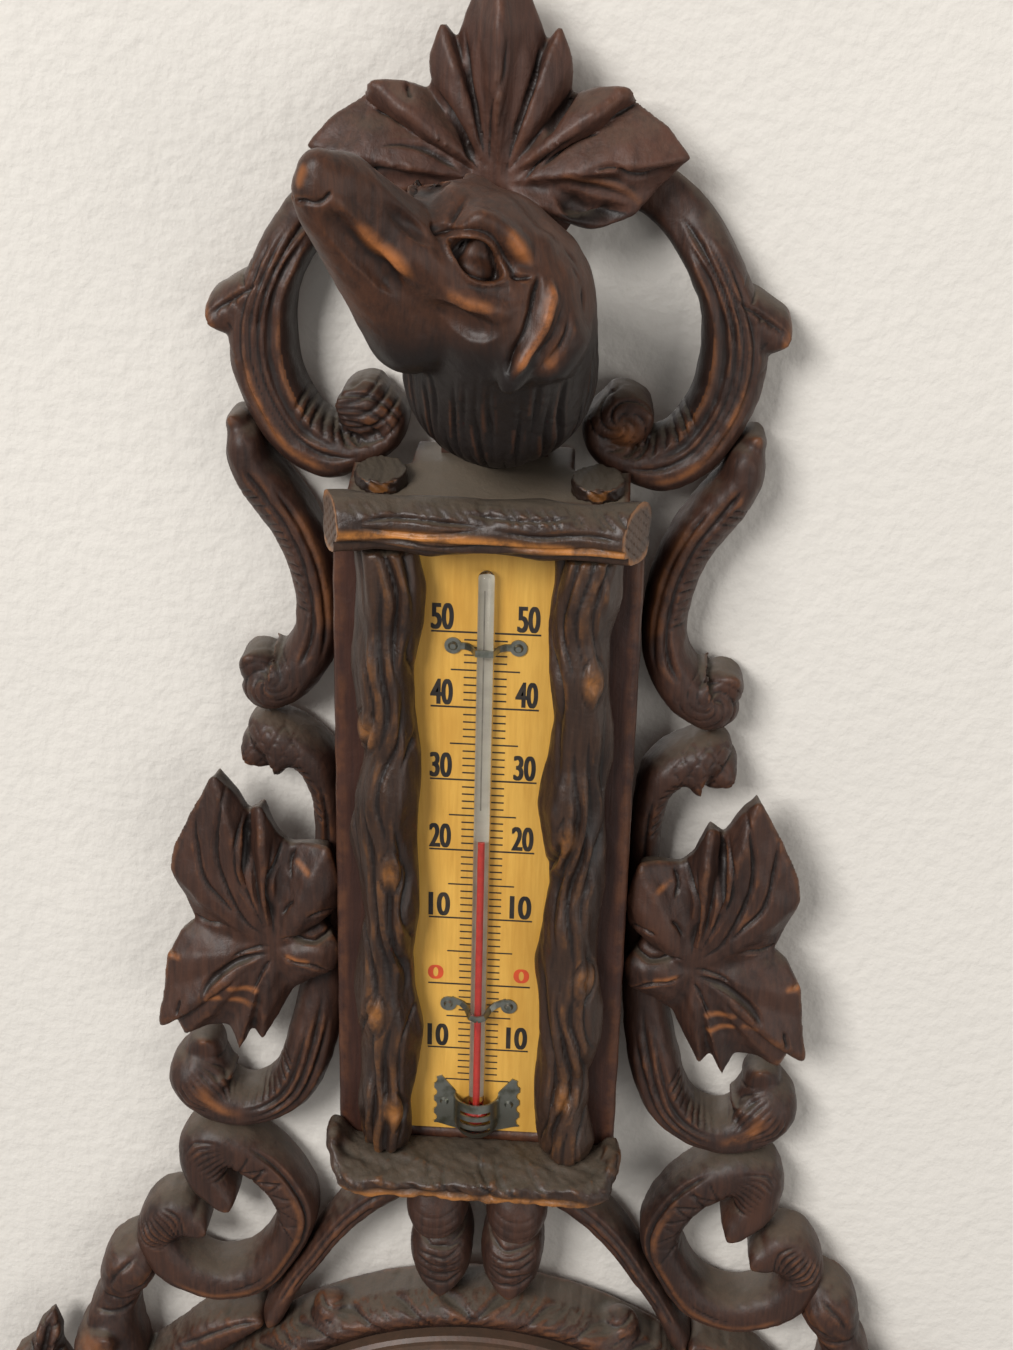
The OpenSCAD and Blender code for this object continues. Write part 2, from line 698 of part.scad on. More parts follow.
// Strap over the tube with an eye at each end; drop is how far its middle hangs below the nails
module tube_clip(z, drop) {
    eye_r = nail_head_d / 2 + 0.9;
    y0 = case_t;
    top = tube_y + tube_d / 2 + 0.1;
    strap_w = 1.7;
    side_x = tube_d / 2 + 0.9;
    a = atan2(drop, clip_half);
    difference() {
        union() {
            for (side = [-1, 1])
                facing(side * clip_half, z) translate([0, 0, y0]) cylinder(h = sheet_t, r = eye_r);
            translate([0, 0, z - drop / 2]) for (side = [-1, 1]) mirrored(side) rotate([0, -a, 0])
                translate([0, 0, -strap_w / 2]) linear_extrude(strap_w) polygon([
                    [0, -top - sheet_t], [2.2, -top - sheet_t], [side_x + sheet_t, -y0 - 1.6],
                    [side_x + 2, -y0 - sheet_t], [clip_half, -y0 - sheet_t], [clip_half, -y0],
                    [side_x + 1.6, -y0], [side_x, -y0 - 1.6], [2.1, -top], [0, -top]
                ]);
        }
        for (side = [-1, 1])
            facing(side * clip_half, z) cylinder(h = case_t * 2, d = nail_d + 0.04);
    }
}
module upper_clip() {
    color(steel) tube_clip(zero_z + upper_clip_up, 0);
}
module lower_clip() {
    color(steel) tube_clip(zero_z - lower_clip_down, 3.5);
}

module bulb_guard() {
    r = bulb_d / 2 + 2.6;
    color(steel) difference() {
        union() {
            // Two scalloped wings
            for (side = [-1, 1]) mirrored(side)
                facing(0, bulb_z) translate([0, 0, case_t]) linear_extrude(sheet_t) difference() {
                    polygon([
                        [r - 1, -guard_h * 0.4], [guard_w / 2 - 1, -guard_h * 0.3], [guard_w / 2, -guard_h * 0.3],
                        [guard_w / 2, guard_h * 0.55], [guard_w / 2 - 2, guard_h * 0.6], [r - 1, guard_h * 0.25]
                    ]);
                    for (k = [0 : 3])
                        translate([guard_w / 2 + 0.7, guard_h * (-0.2 + 0.24 * k)]) circle(d = 3, $fn = 24);
                }
            // Pocket round the bulb
            translate([0, -case_t, bulb_z - 2.2]) cylinder(h = guard_h * 0.42, r = r + sheet_t);
            translate([0, -case_t, bulb_z - 2.2]) sphere(r = r + sheet_t);
        }
        translate([0, -case_t, bulb_z - 2.2]) cylinder(h = guard_h, r = r);
        translate([0, -case_t, bulb_z - 2.2]) sphere(r = r);
        // Everything behind the plate's face
        translate([-guard_w, -case_t, bulb_z - guard_h * 2]) cube([2 * guard_w, case_t, guard_h * 4]);
        // Three slots across the pocket
        for (k = [0 : 2])
            translate([-r * 0.7, -case_t - 3 * r, bulb_z - 4.2 + k * 2.7]) cube([r * 1.4, 3 * r, 1.2]);
        for (side = [-1, 1])
            facing(side * guard_w * 0.38, bulb_z + 2) cylinder(h = case_t * 2, d = nail_d + 0.04);
    }
}

module nail(x, z, under) {
    facing(x, z) {
        translate([0, 0, case_t - plate_t + 0.3]) cylinder(h = plate_t + under - 0.3, d = nail_d, $fn = 24);
        translate([0, 0, case_t + under]) cylinder(h = 0.7, d1 = nail_head_d, d2 = nail_head_d * 0.6, $fn = 24);
    }
}
module nails() {
    color(steel) {
        for (z = [zero_z + upper_clip_up, zero_z - lower_clip_down], side = [-1, 1])
            nail(side * clip_half, z, sheet_t);
        for (side = [-1, 1])
            nail(side * guard_w * 0.38, bulb_z + 2, sheet_t);
    }
}

// Board that carries the barometer, with the carved wreath round its edge
module dial_board() {
    hole_r = drum_r + 0.3;
    wi = wreath_r - wreath_w;
    wm = wreath_r - wreath_w / 2;
    color(dark_wood) at_dial() difference() {
        union() {
            rotate_extrude($fn = 96) polygon([
                [hole_r, carve_back], [wreath_r - 2, carve_back], [wreath_r, carve_back + 3],
                [wreath_r, wreath_front - 7], [wreath_r - 2.2, wreath_front - 2.5], [wm + 1, wreath_front],
                [wm - 1.5, wreath_front - 0.5], [wi + 0.8, wreath_front - 4], [wi, seat_front], [hole_r, seat_front]
            ]);
            // Knobs on the wreath
            for (a = [64, 116, -4, 184, -52, 232])
                rotate(a) translate([wreath_r - 1.5, 0, wreath_front - 9]) sphere(r = 6, $fn = 32);
        }
        for (i = [0 : 2])
            rotate(90 + i * 120) translate([screw_pcr, 0, seat_front - 9]) cylinder(h = 12, r = 1.3, $fn = 24);
    }
}

// Branch round the dial board, from the low ring down to the foot
module dial_branch() {
    full = carve_front;
    b = carve_back;
    r = wreath_r + seat_gap;
    function polar(a, out, w, f) = [(r + out) * cos(a), dial_z + (r + out) * sin(a), w, f, b];
    carved_member([
        polar(42.3, 41, 12.5, full), polar(37.5, 33, 15, full), polar(30, 21, 14, full),
        polar(20, 10, 14, full), polar(9, 7.6, 13.5, full), polar(-4, 13.5, 13, full), polar(-17, 8, 14, full),
        polar(-31, 7.2, 13.5, full), polar(-42, 7.4, 13, full), polar(-52, 12.5, 11, full), polar(-62, 6, 9, full - 3)
    ], 2);
    // Sawn side stub
    hull() {
        bead([r + 6, dial_z + 59, 14, full, b + 2]);
        bead([r + 17.5, dial_z + 62, 15, full + 4, b + 4]);
    }
    // Leaf scroll that lies between the low ring and the wreath
    carved_member([
        polar(33, 14, 9, full), polar(38, 10.5, 11, full), polar(43.5, 8.6, 13, full), polar(50, 5.5, 7, full - 2)
    ], 2);
}
module dial_branch_left() {
    color(wood) mirrored(-1) dial_branch();
}
module dial_branch_right() {
    color(wood) dial_branch();
}

// Oak leaves lying outside the branch, two on each side
module oak_leaf(length, width) {
    lobes = 4;
    outline = concat(
        [for (i = [0 : 2 * lobes]) let (t = i / (2 * lobes), v = i % 2 == 0 ? 0.62 : 1)
            [width / 2 * sin(180 * (0.12 + 0.88 * t)) * v + 1.5 * (1 - t), length * (t - 0.45), i % 2 == 0 ? 0 : 0.7]],
        [for (i = [2 * lobes - 1 : -1 : 0]) let (t = i / (2 * lobes), v = i % 2 == 0 ? 0.62 : 1)
            [-width / 2 * sin(180 * (0.12 + 0.88 * t)) * v - 1.5 * (1 - t), length * (t - 0.45), i % 2 == 0 ? 0 : 0.7]]
    );
    back = carve_back + 6;
    relief_leaf([0, 0], [for (i = [len(outline) - 1 : -1 : 0]) outline[i]], carve_front + 2, back, 3);
}
module dial_leaves() {
    r = wreath_r + seat_gap;
    // Each leaf: [x, height over the dial's middle, turn, length]
    leaves = [[r + 34.4, 52, -12, 48], [r + 20.1, -36, 16, 46]];
    color(wood)
        for (side = [-1, 1], k = leaves)
            mirrored(side) translate([k[0], 0, dial_z + k[1]]) rotate([0, k[2], 0]) oak_leaf(k[3], 20);
}

// Leaf hanging under the dial board
module foot_leaf() {
    z0 = dial_z - wreath_r + 0.8;
    half = [
        [0, -56, 1], [6, -49, 0.4], [10, -40, 0.3], [10.5, -37, 0], [15, -41, 0.6], [17.5, -31, 0.4],
        [17, -24, 0], [25, -27, 0.7], [31, -23, 0.6], [30, -15, 0.1], [35, -10, 0.6], [36, 3.5, 0.4],
        [28, -0.2, 0.2], [18, -2.6, 0.1], [9, -1, 0.1]
    ];
    n = len(half);
    outline = concat([for (i = [0 : n - 1]) [-half[i][0], z0 + half[i][1], half[i][2]]],
        [for (i = [n - 1 : -1 : 1]) [half[i][0], z0 + half[i][1], half[i][2]]]);
    color(wood) relief_leaf([0, z0 - 12], outline, crest_leaf_front, carve_back, 5);
}

// Turned wooden bezel
module bezel() {
    r1 = bezel_r;
    m = bezel_mouth_r;
    f = bezel_front;
    color(wood) at_dial() rotate_extrude($fn = 96) polygon(concat(
        [[rebate_r, seat_front + 0.02], [r1, seat_front + 0.02], [r1, seat_front + 4]],
        [for (a = [0 : 15 : 90]) [r1 - 1 - 5 * (1 - cos(a)), seat_front + 5 + 5 * sin(a)]],
        [[r1 - 8, seat_front + 11.5]],
        [for (a = [0 : 15 : 90]) [r1 - 8 - 9 * sin(a), f - 3 - 8 * (1 - sin(a))]],
        [[m + 6, f - 2.4], [m + 5, f - 0.6], [m + 3.2, f], [m + 1.4, f - 0.7], [m, f - 2.6],
         [m, lip_back], [rebate_r, lip_back]]
    ));
}

glass_front = lip_back - 0.1;
glass_back = glass_front - glass_t;
module dial_glass() {
    color([0.8, 0.88, 0.9, 0.4]) at_dial() difference() {
        translate([0, 0, glass_back]) cylinder(h = glass_t, r = rebate_r - 0.6, $fn = 96);
        translate([0, 0, glass_back - 1]) cylinder(h = glass_t + 2, r = set_shaft_r + run_gap);
    }
}
module glass_ring() {
    ring_t = 1.6;
    color(brass) at_dial() difference() {
        translate([0, 0, glass_back - ring_t - 0.02]) cylinder(h = ring_t, r = rebate_r - 0.1, $fn = 96);
        translate([0, 0, glass_back - 2 * ring_t]) cylinder(h = 3 * ring_t, r = rebate_r - 2.2, $fn = 96);
    }
}
module dial_plate() {
    color([0.93, 0.91, 0.84]) at_dial() difference() {
        translate([0, 0, drum_front + 0.02]) cylinder(h = dial_t, r = dial_r, $fn = 96);
        translate([0, 0, drum_front - 1]) cylinder(h = 4, r = 3);
    }
}

module drum() {
    color(brass) at_dial() difference() {
        union() {
            translate([0, 0, drum_back]) cylinder(h = drum_front - drum_back, r = drum_r, $fn = 96);
            translate([0, 0, seat_front + 0.02]) cylinder(h = 1, r = drum_r + flange_w, $fn = 96);
        }
        translate([0, 0, drum_back + drum_wall]) cylinder(h = drum_front, r = drum_r - drum_wall, $fn = 96);
        translate([0, foot_y, drum_back - 1]) cylinder(h = 4, r = adjust_r + run_gap);
        for (i = [0 : 2])
            rotate(90 + i * 120) translate([screw_pcr, 0, seat_front - 1]) cylinder(h = 4, r = 1.4, $fn = 24);
    }
}
module drum_screws() {
    color(brass) at_dial()
        for (i = [0 : 2])
            rotate(90 + i * 120) translate([screw_pcr, 0, 0]) difference() {
                union() {
                    translate([0, 0, seat_front - 8]) cylinder(h = 9.1, r = 1.25, $fn = 24);
                    translate([0, 0, seat_front + 1.04]) cylinder(h = 1.6, r1 = 2.6, r2 = 1.8, $fn = 24);
                }
                translate([-3, -0.3, seat_front + 2]) cube([6, 0.6, 2]);
            }
}

floor_z = drum_back + drum_wall;
plate_top = floor_z + 2;
module base_plate() {
    color(brass) at_dial() difference() {
        translate([0, 0, floor_z]) cylinder(h = 2, r = drum_r - drum_wall - 4, $fn = 96);
        translate([0, foot_y, floor_z - 1]) cylinder(h = 4, r = adjust_r + run_gap);
    }
}

// Corrugated capsule with a dimple for the post
capsule_top = plate_top + capsule_h;
module capsule() {
    n = 5;
    step = (capsule_r - 6) / (2 * n);
    color([0.8, 0.75, 0.6]) at_dial() rotate_extrude($fn = 64) polygon(concat(
        [[0, plate_top], [capsule_r - 1, plate_top], [capsule_r, plate_top + 1], [capsule_r, capsule_top - 1.5]],
        [for (i = [0 : 2 * n]) [capsule_r - 0.8 - i * step, capsule_top - (i % 2 == 0 ? 0.9 : 0.2)]],
        [[3.8, capsule_top], [2.5, capsule_top], [2.5, capsule_top - 2], [0, capsule_top - 2]]
    ));
}

spring_z = capsule_top + 4.8;
foot_y = -42;
module spring_foot() {
    color(steel) at_dial() difference() {
        translate([-10, foot_y - 4, plate_top]) cube([20, 8, spring_z - 0.1 - plate_top]);
        translate([0, foot_y, plate_top - 1]) cylinder(h = 7, r = adjust_r + run_gap);
    }
}
// Leaf spring over the capsule, stiffened by a tapered tongue
module main_spring() {
    color([0.35, 0.37, 0.42]) at_dial() difference() {
        translate([0, 0, spring_z]) linear_extrude(1.2) polygon([
            [-10, foot_y - 4], [10, foot_y - 4], [10, -24], [5, 4], [-5, 4], [-10, -24]
        ]);
        translate([0, 0, spring_z - 1]) cylinder(h = 4, r = 1.25, $fn = 24);
    }
}
module capsule_post() {
    color(brass) at_dial() {
        translate([0, 0, capsule_top - 1]) cylinder(h = spring_z - capsule_top + 0.98, r = 2.2, $fn = 32);
        translate([0, 0, spring_z - 0.03]) cylinder(h = 1.2, r = 1.2, $fn = 24);
    }
}
lever_z = spring_z + 1.22;
module lever() {
    color(steel) at_dial() translate([0, 0, lever_z]) linear_extrude(1.4) polygon([
        [-3, -8], [3, -8], [1.8, rocker_up - short_arm + 1.4], [-1.8, rocker_up - short_arm + 1.4]
    ]);
}

rocker_z = lever_z - 4;
arm_top = lever_z + 7;
module link_rod() {
    color(steel) at_dial() translate([0, rocker_up - short_arm, rocker_z + 1.05])
        cylinder(h = lever_z - rocker_z - 1.05 - 0.25, r = 0.45, $fn = 24);
}
module rocker() {
    color(steel) at_dial() translate([0, rocker_up, rocker_z]) {
        translate([-11, 0, 0]) rotate([0, 90, 0]) cylinder(h = 22, r = rocker_r, $fn = 32);
        // Short arm to the link, long arm up to the chain
        translate([-0.9, -short_arm - 0.8, -0.7]) cube([1.8, short_arm + 0.8, 1.4]);
        translate([0.3, -0.7, 0]) cube([1.6, 1.4, arm_top - rocker_z]);
    }
}
module rocker_stand() {
    color(brass) at_dial() difference() {
        union() {
            for (side = [-1, 1])
                translate([side * 9 - 1, rocker_up - 3.5, plate_top]) cube([2, 7, rocker_z + 3 - plate_top]);
            translate([-10, rocker_up - 3.5, plate_top]) cube([20, 7, 1.5]);
        }
        translate([-12, rocker_up, rocker_z]) rotate([0, 90, 0]) cylinder(h = 24, r = rocker_r + run_gap, $fn = 32);
    }
}

low_bar = lever_z + 2.4;
high_bar = 27.6;
// Two bars on two pillars, which carry the pointer's arbor
module movement_bridge() {
    color(brass) at_dial() difference() {
        union() {
            for (side = [-1, 1])
                translate([side * 34, 0, plate_top]) cylinder(h = high_bar + 1.4 - plate_top, r = 3, $fn = 32);
            translate([-34, -3, low_bar]) cube([68, 6, 1.2]);
            translate([-34, -4, high_bar]) cube([68, 8, 1.4]);
        }
        translate([0, 0, low_bar - 1]) cylinder(h = 12, r = arbor_r + run_gap, $fn = 32);
    }
}
chain_z = arm_top - 0.6;
module chain() {
    color(steel) at_dial() translate([arbor_r + 0.25, -3.5, chain_z]) rotate([-90, 0, 0])
        cylinder(h = rocker_up - 0.7 - 0.25 + 3.5, r = 0.2, $fn = 16);
}
module pointer_arbor() {
    color(steel) at_dial() translate([0, 0, low_bar + 0.2])
        cylinder(h = drum_front + dial_t + 1.4 - low_bar, r = arbor_r, $fn = 32);
}
hand_z = drum_front + dial_t + 0.6;
module pointer() {
    color([0.05, 0.06, 0.12]) at_dial() difference() {
        union() {
            translate([0, 0, hand_z]) linear_extrude(0.4) union() {
                circle(r = 3.2, $fn = 32);
                polygon([[-1.1, 2], [-1.8, pointer_l * 0.6], [0, pointer_l], [1.8, pointer_l * 0.6], [1.1, 2]]);
                polygon([[-0.9, -2], [-1.4, -14], [1.4, -14], [0.9, -2]]);
                translate([0, -16]) circle(r = 3.4, $fn = 32);
            }
            translate([0, 0, hand_z - 0.2]) cylinder(h = 0.9, r = 2, $fn = 32);
        }
        translate([0, 0, hand_z - 1]) cylinder(h = 3, r = arbor_r + 0.01, $fn = 32);
    }
}
// Flat spiral that holds the chain tight
module hairspring() {
    turns = 4;
    n = 18 * turns;
    function r_at(i) = arbor_r + 0.5 + 5 * i / n;
    z = low_bar + 2.2;
    color([0.3, 0.35, 0.5]) at_dial() translate([0, 0, z]) linear_extrude(0.6) polygon(concat(
        [for (i = [0 : n]) r_at(i) * [cos(i * 20), sin(i * 20)]],
        [for (i = [n : -1 : 0]) (r_at(i) + 0.25) * [cos(i * 20), sin(i * 20)]]
    ));
    color(brass) at_dial() translate([r_at(n) + 0.8, 0, low_bar + 1.22]) cylinder(h = 2.4, r = 0.5, $fn = 24);
}
module adjusting_screw() {
    color(steel) at_dial() difference() {
        translate([0, foot_y, drum_back - 0.6]) cylinder(h = plate_top + 5 - drum_back, r = adjust_r, $fn = 32);
        translate([-adjust_r * 2, foot_y - 0.3, drum_back - 1]) cube([adjust_r * 4, 0.6, 1.2]);
    }
}
set_z = hand_z + 1.1;
module set_hand() {
    color(brass) at_dial() union() {
        translate([0, 0, set_z + 0.2]) linear_extrude(0.4) union() {
            circle(r = 2.8, $fn = 32);
            polygon([[-0.8, 2], [-1, pointer_l * 0.8], [0, pointer_l * 0.94], [1, pointer_l * 0.8], [0.8, 2]]);
            polygon([[-0.7, -2], [-0.9, -13], [0.9, -13], [0.7, -2]]);
            translate([0, -14.5]) circle(r = 2.2, $fn = 32);
        }
        translate([0, 0, set_z]) cylinder(h = glass_front + 1.3 - set_z, r = set_shaft_r, $fn = 32);
    }
}
module set_knob() {
    z0 = glass_front + 0.2;
    color(brass) at_dial() difference() {
        translate([0, 0, z0]) rotate_extrude($fn = 48) polygon([
            [0, 0], [knob_r * 0.55, 0], [knob_r * 0.55, knob_l * 0.3], [knob_r, knob_l * 0.42], [knob_r, knob_l * 0.82],
            [knob_r * 0.8, knob_l], [0, knob_l * 1.02]
        ]);
        translate([0, 0, z0 - 1]) cylinder(h = 2.15, r = set_shaft_r + 0.01, $fn = 32);
    }
}

crest_board();
crest_leaf();
ring_left();
ring_right();
side_scroll_left();
side_scroll_right();
long_scroll_left();
long_scroll_right();
side_leaf_left();
side_leaf_right();
low_ring_left();
low_ring_right();
brace_left();
brace_right();
post_left();
post_right();
hound_head();
case_board();
roof_board();
roof_log();
roof_stubs();
side_log_left();
side_log_right();
base_shelf();
scale_plate();
glass_tube();
spirit_column();
upper_clip();
lower_clip();
bulb_guard();
nails();
dial_board();
dial_branch_left();
dial_branch_right();
dial_leaves();
foot_leaf();
bezel();
dial_glass();
glass_ring();
dial_plate();
drum();
drum_screws();
base_plate();
capsule();
spring_foot();
main_spring();
capsule_post();
lever();
link_rod();
rocker();
rocker_stand();
movement_bridge();
chain();
pointer_arbor();
pointer();
hairspring();
adjusting_screw();
set_hand();
set_knob();
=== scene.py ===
"""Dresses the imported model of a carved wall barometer: carving, wood, scales, glass and light."""

import logging
import math
from dataclasses import dataclass
from enum import Enum

import bmesh
import bpy
import numpy as np
from mathutils import Matrix, Vector


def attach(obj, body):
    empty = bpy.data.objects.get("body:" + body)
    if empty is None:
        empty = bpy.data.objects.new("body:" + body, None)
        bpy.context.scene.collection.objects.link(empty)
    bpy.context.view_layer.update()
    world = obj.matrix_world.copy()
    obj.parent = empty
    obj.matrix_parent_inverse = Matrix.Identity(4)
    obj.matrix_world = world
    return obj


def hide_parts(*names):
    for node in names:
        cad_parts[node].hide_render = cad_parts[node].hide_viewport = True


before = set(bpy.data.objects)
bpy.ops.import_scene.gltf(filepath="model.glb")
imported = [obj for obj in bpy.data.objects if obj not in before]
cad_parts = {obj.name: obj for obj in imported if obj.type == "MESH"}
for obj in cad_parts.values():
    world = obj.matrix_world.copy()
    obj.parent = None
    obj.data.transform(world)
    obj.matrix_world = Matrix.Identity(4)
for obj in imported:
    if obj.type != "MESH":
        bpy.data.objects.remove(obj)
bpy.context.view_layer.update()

MM = 0.001

# Places and sizes of the part, in millimetres
ROOF_TOP = -65.5
CASE_HALF = 37.5
CASE_TOP = -79.0
CASE_FRONT = 28.0
SHELF_BOTTOM = -263.0
DIAL_Z = -415.0
BACK = 2.0
ZERO_Z = -205.0
DEGREE = 2.0

# Directions of the photograph's camera
VIEW_RIGHT = (0.99773057, 0.06332023, 0.02289689)
VIEW_DOWN = (0.0462366, -0.3970941, -0.91661249)
VIEW_AHEAD = (-0.04894789, 0.91559097, -0.39912063)

SIDES = {-1: "left", 1: "right"}

# How far a round of smoothing pulls, and how much of it softening gives back
SMOOTHING = 0.6
PUSH_BACK = 0.92

log = logging.getLogger("barometer")

Array = np.ndarray
Piece = bpy.types.Object
Work = bmesh.types.BMesh
Socket = bpy.types.NodeSocket
Material = bpy.types.Material
Pair = tuple[float, float]
Space = tuple[float, float, float]
Colour = tuple[float, float, float]
Station = tuple[float, ...]
Line = list[Pair]


# Shapes

def new_object(name: str, mesh: bpy.types.Mesh) -> Piece:
    """Links a mesh into the scene as an object at the origin.

    Args:
        name: name of the object.
        mesh: its mesh, or its curve.
    Returns:
        The new object.
    """
    piece = bpy.data.objects.new(name, mesh)
    bpy.context.scene.collection.objects.link(piece)
    return piece


def finish_bmesh(name: str, work: Work, smooth: bool = True) -> Piece:
    """Turns a bmesh into an object.

    Args:
        name: name of the new object.
        work: the bmesh, which is freed.
        smooth: shade the faces smooth.
    Returns:
        The new object.
    """
    bmesh.ops.remove_doubles(work, verts=work.verts, dist=1e-6)
    bmesh.ops.recalc_face_normals(work, faces=work.faces)
    mesh = bpy.data.meshes.new(name)
    work.to_mesh(mesh)
    work.free()
    mesh.polygons.foreach_set("use_smooth", [smooth] * len(mesh.polygons))
    return new_object(name, mesh)


def apply_modifiers(piece: Piece) -> None:
    """Bakes the object's modifiers into its mesh.

    Args:
        piece: the object that is changed.
    """
    graph = bpy.context.evaluated_depsgraph_get()
    mesh = bpy.data.meshes.new_from_object(piece.evaluated_get(graph))
    piece.modifiers.clear()
    old = piece.data
    piece.data = mesh
    bpy.data.meshes.remove(old)


def squares(piece: Piece, voxel: float) -> None:
    """Gives a closed mesh even squares, voxel millimetres wide.

    Args:
        piece: the closed mesh that is changed.
        voxel: width of a square in millimetres.
    """
    remesh = piece.modifiers.new("squares", "REMESH")
    remesh.mode = "VOXEL"
    remesh.voxel_size = voxel * MM
    remesh.adaptivity = 0.0
    apply_modifiers(piece)
    piece.data.polygons.foreach_set("use_smooth", [True] * len(piece.data.polygons))


def melt(piece: Piece, rounds: int) -> None:
    """Rounds off every edge of a fine mesh.

    Args:
        piece: the fine mesh that is changed.
        rounds: rounds of smoothing.
    """
    carver = Carver(piece)
    carver.co = carver.relaxed(rounds)
    carver.write()


def fine_copy(nodes: list[str], name: str, voxel: float, relax: int = 2) -> Piece:
    """Copies CAD nodes into one closed mesh that is fine enough to carve.

    Args:
        nodes: CAD nodes to copy.
        name: name of the new piece.
        voxel: size of the new mesh's squares in millimetres.
        relax: rounds of smoothing after the remesh.
    Returns:
        The new object.
    """
    work = bmesh.new()
    for node in nodes:
        work.from_mesh(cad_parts[node].data)
    bmesh.ops.remove_doubles(work, verts=work.verts, dist=2e-6)
    mesh = bpy.data.meshes.new(name)
    work.to_mesh(mesh)
    work.free()
    piece = new_object(name, mesh)
    squares(piece, voxel)
    if relax:
        soften(piece, relax)
    return piece


def soften(piece: Piece, rounds: int) -> None:
    """Smooths a fine mesh and keeps its volume.

    Args:
        piece: the fine mesh that is changed.
        rounds: rounds of smoothing.
    """
    carver = Carver(piece)
    for _ in range(rounds):
        carver.co = carver.relaxed(1)
        carver.co += (carver.co - carver.relaxed(1)) * PUSH_BACK
    carver.write()


def curve_at(points: Array, steps: int) -> Array:
    """Smooth curve through stations.

    Args:
        points: the stations, one row each.
        steps: points from one station to the next.
    Returns:
        The points of the curve.
    """
    out = []
    last = len(points) - 1
    for i in range(last):
        a, b, c, d = (points[max(i - 1, 0)], points[i], points[i + 1], points[min(i + 2, last)])
        for j in range(steps):
            t = j / steps
            out.append((2 * b + (c - a) * t + (2 * a - 5 * b + 4 * c - d) * t * t
                        + (3 * b - a - 3 * c + d) * t ** 3) / 2)
    out.append(points[-1])
    return np.array(out)


def smooth_line(line: Line, steps: int) -> Array:
    """A given line as points, smoothed where it has more than two."""
    return curve_at(np.array(line, float), steps) if len(line) > 2 else np.array(line, float)


def length_of(path: Array) -> float:
    """Length of a line in the front view."""
    return np.hypot(*(path[1:, :2] - path[:-1, :2]).T).sum()


def wave(p: Array, size: float, seed: float = 0.0) -> Array:
    """Smooth uneven field between about -1 and 1.

    Args:
        p: points in millimetres, one row each.
        size: width of its hills in millimetres.
        seed: shifts the field.
    Returns:
        One value for each point.
    """
    q = p * (2.2 / size) + seed
    total = (np.sin(q[:, 0] * 1.3 + 1.7 * np.sin(q[:, 2] * 0.9 + seed))
             * np.cos(q[:, 2] * 1.1 + q[:, 1] * 0.7)
             + 0.6 * np.sin(q[:, 2] * 2.3 + 2.1 * np.sin(q[:, 0] * 1.7)) * np.cos(q[:, 1] * 1.9 + seed)
             + 0.4 * np.sin(q[:, 0] * 3.9 + q[:, 2] * 3.1 + 2 * np.sin(q[:, 1] * 2.3)))
    return total / 1.6


def ramp(value: Array, low: float, high: float) -> Array:
    """Smooth step from 0 at low to 1 at high."""
    t = np.clip((value - low) / (high - low), 0.0, 1.0)
    return t * t * (3 - 2 * t)


class Cut(Enum):
    """Shape of a tool's mark across its width."""
    VEE = "vee"
    GOUGE = "gouge"
    RIDGE = "ridge"


def cut_profile(kind: Cut, across: Array) -> Array:
    """Depth across a mark, 1 at its middle and 0 at its edge.

    Args:
        kind: shape of the mark.
        across: place across it, -1 to 1 from edge to edge.
    Returns:
        The share of the depth, negative for a ridge.
    """
    a = np.clip(np.abs(across), 0.0, 1.0)
    if kind is Cut.VEE:
        return (1 - a) ** 1.3
    if kind is Cut.GOUGE:
        return np.sqrt(np.clip(1 - a * a, 0, 1)) * (1 - a ** 4)
    return -((1 - a * a) ** 2)


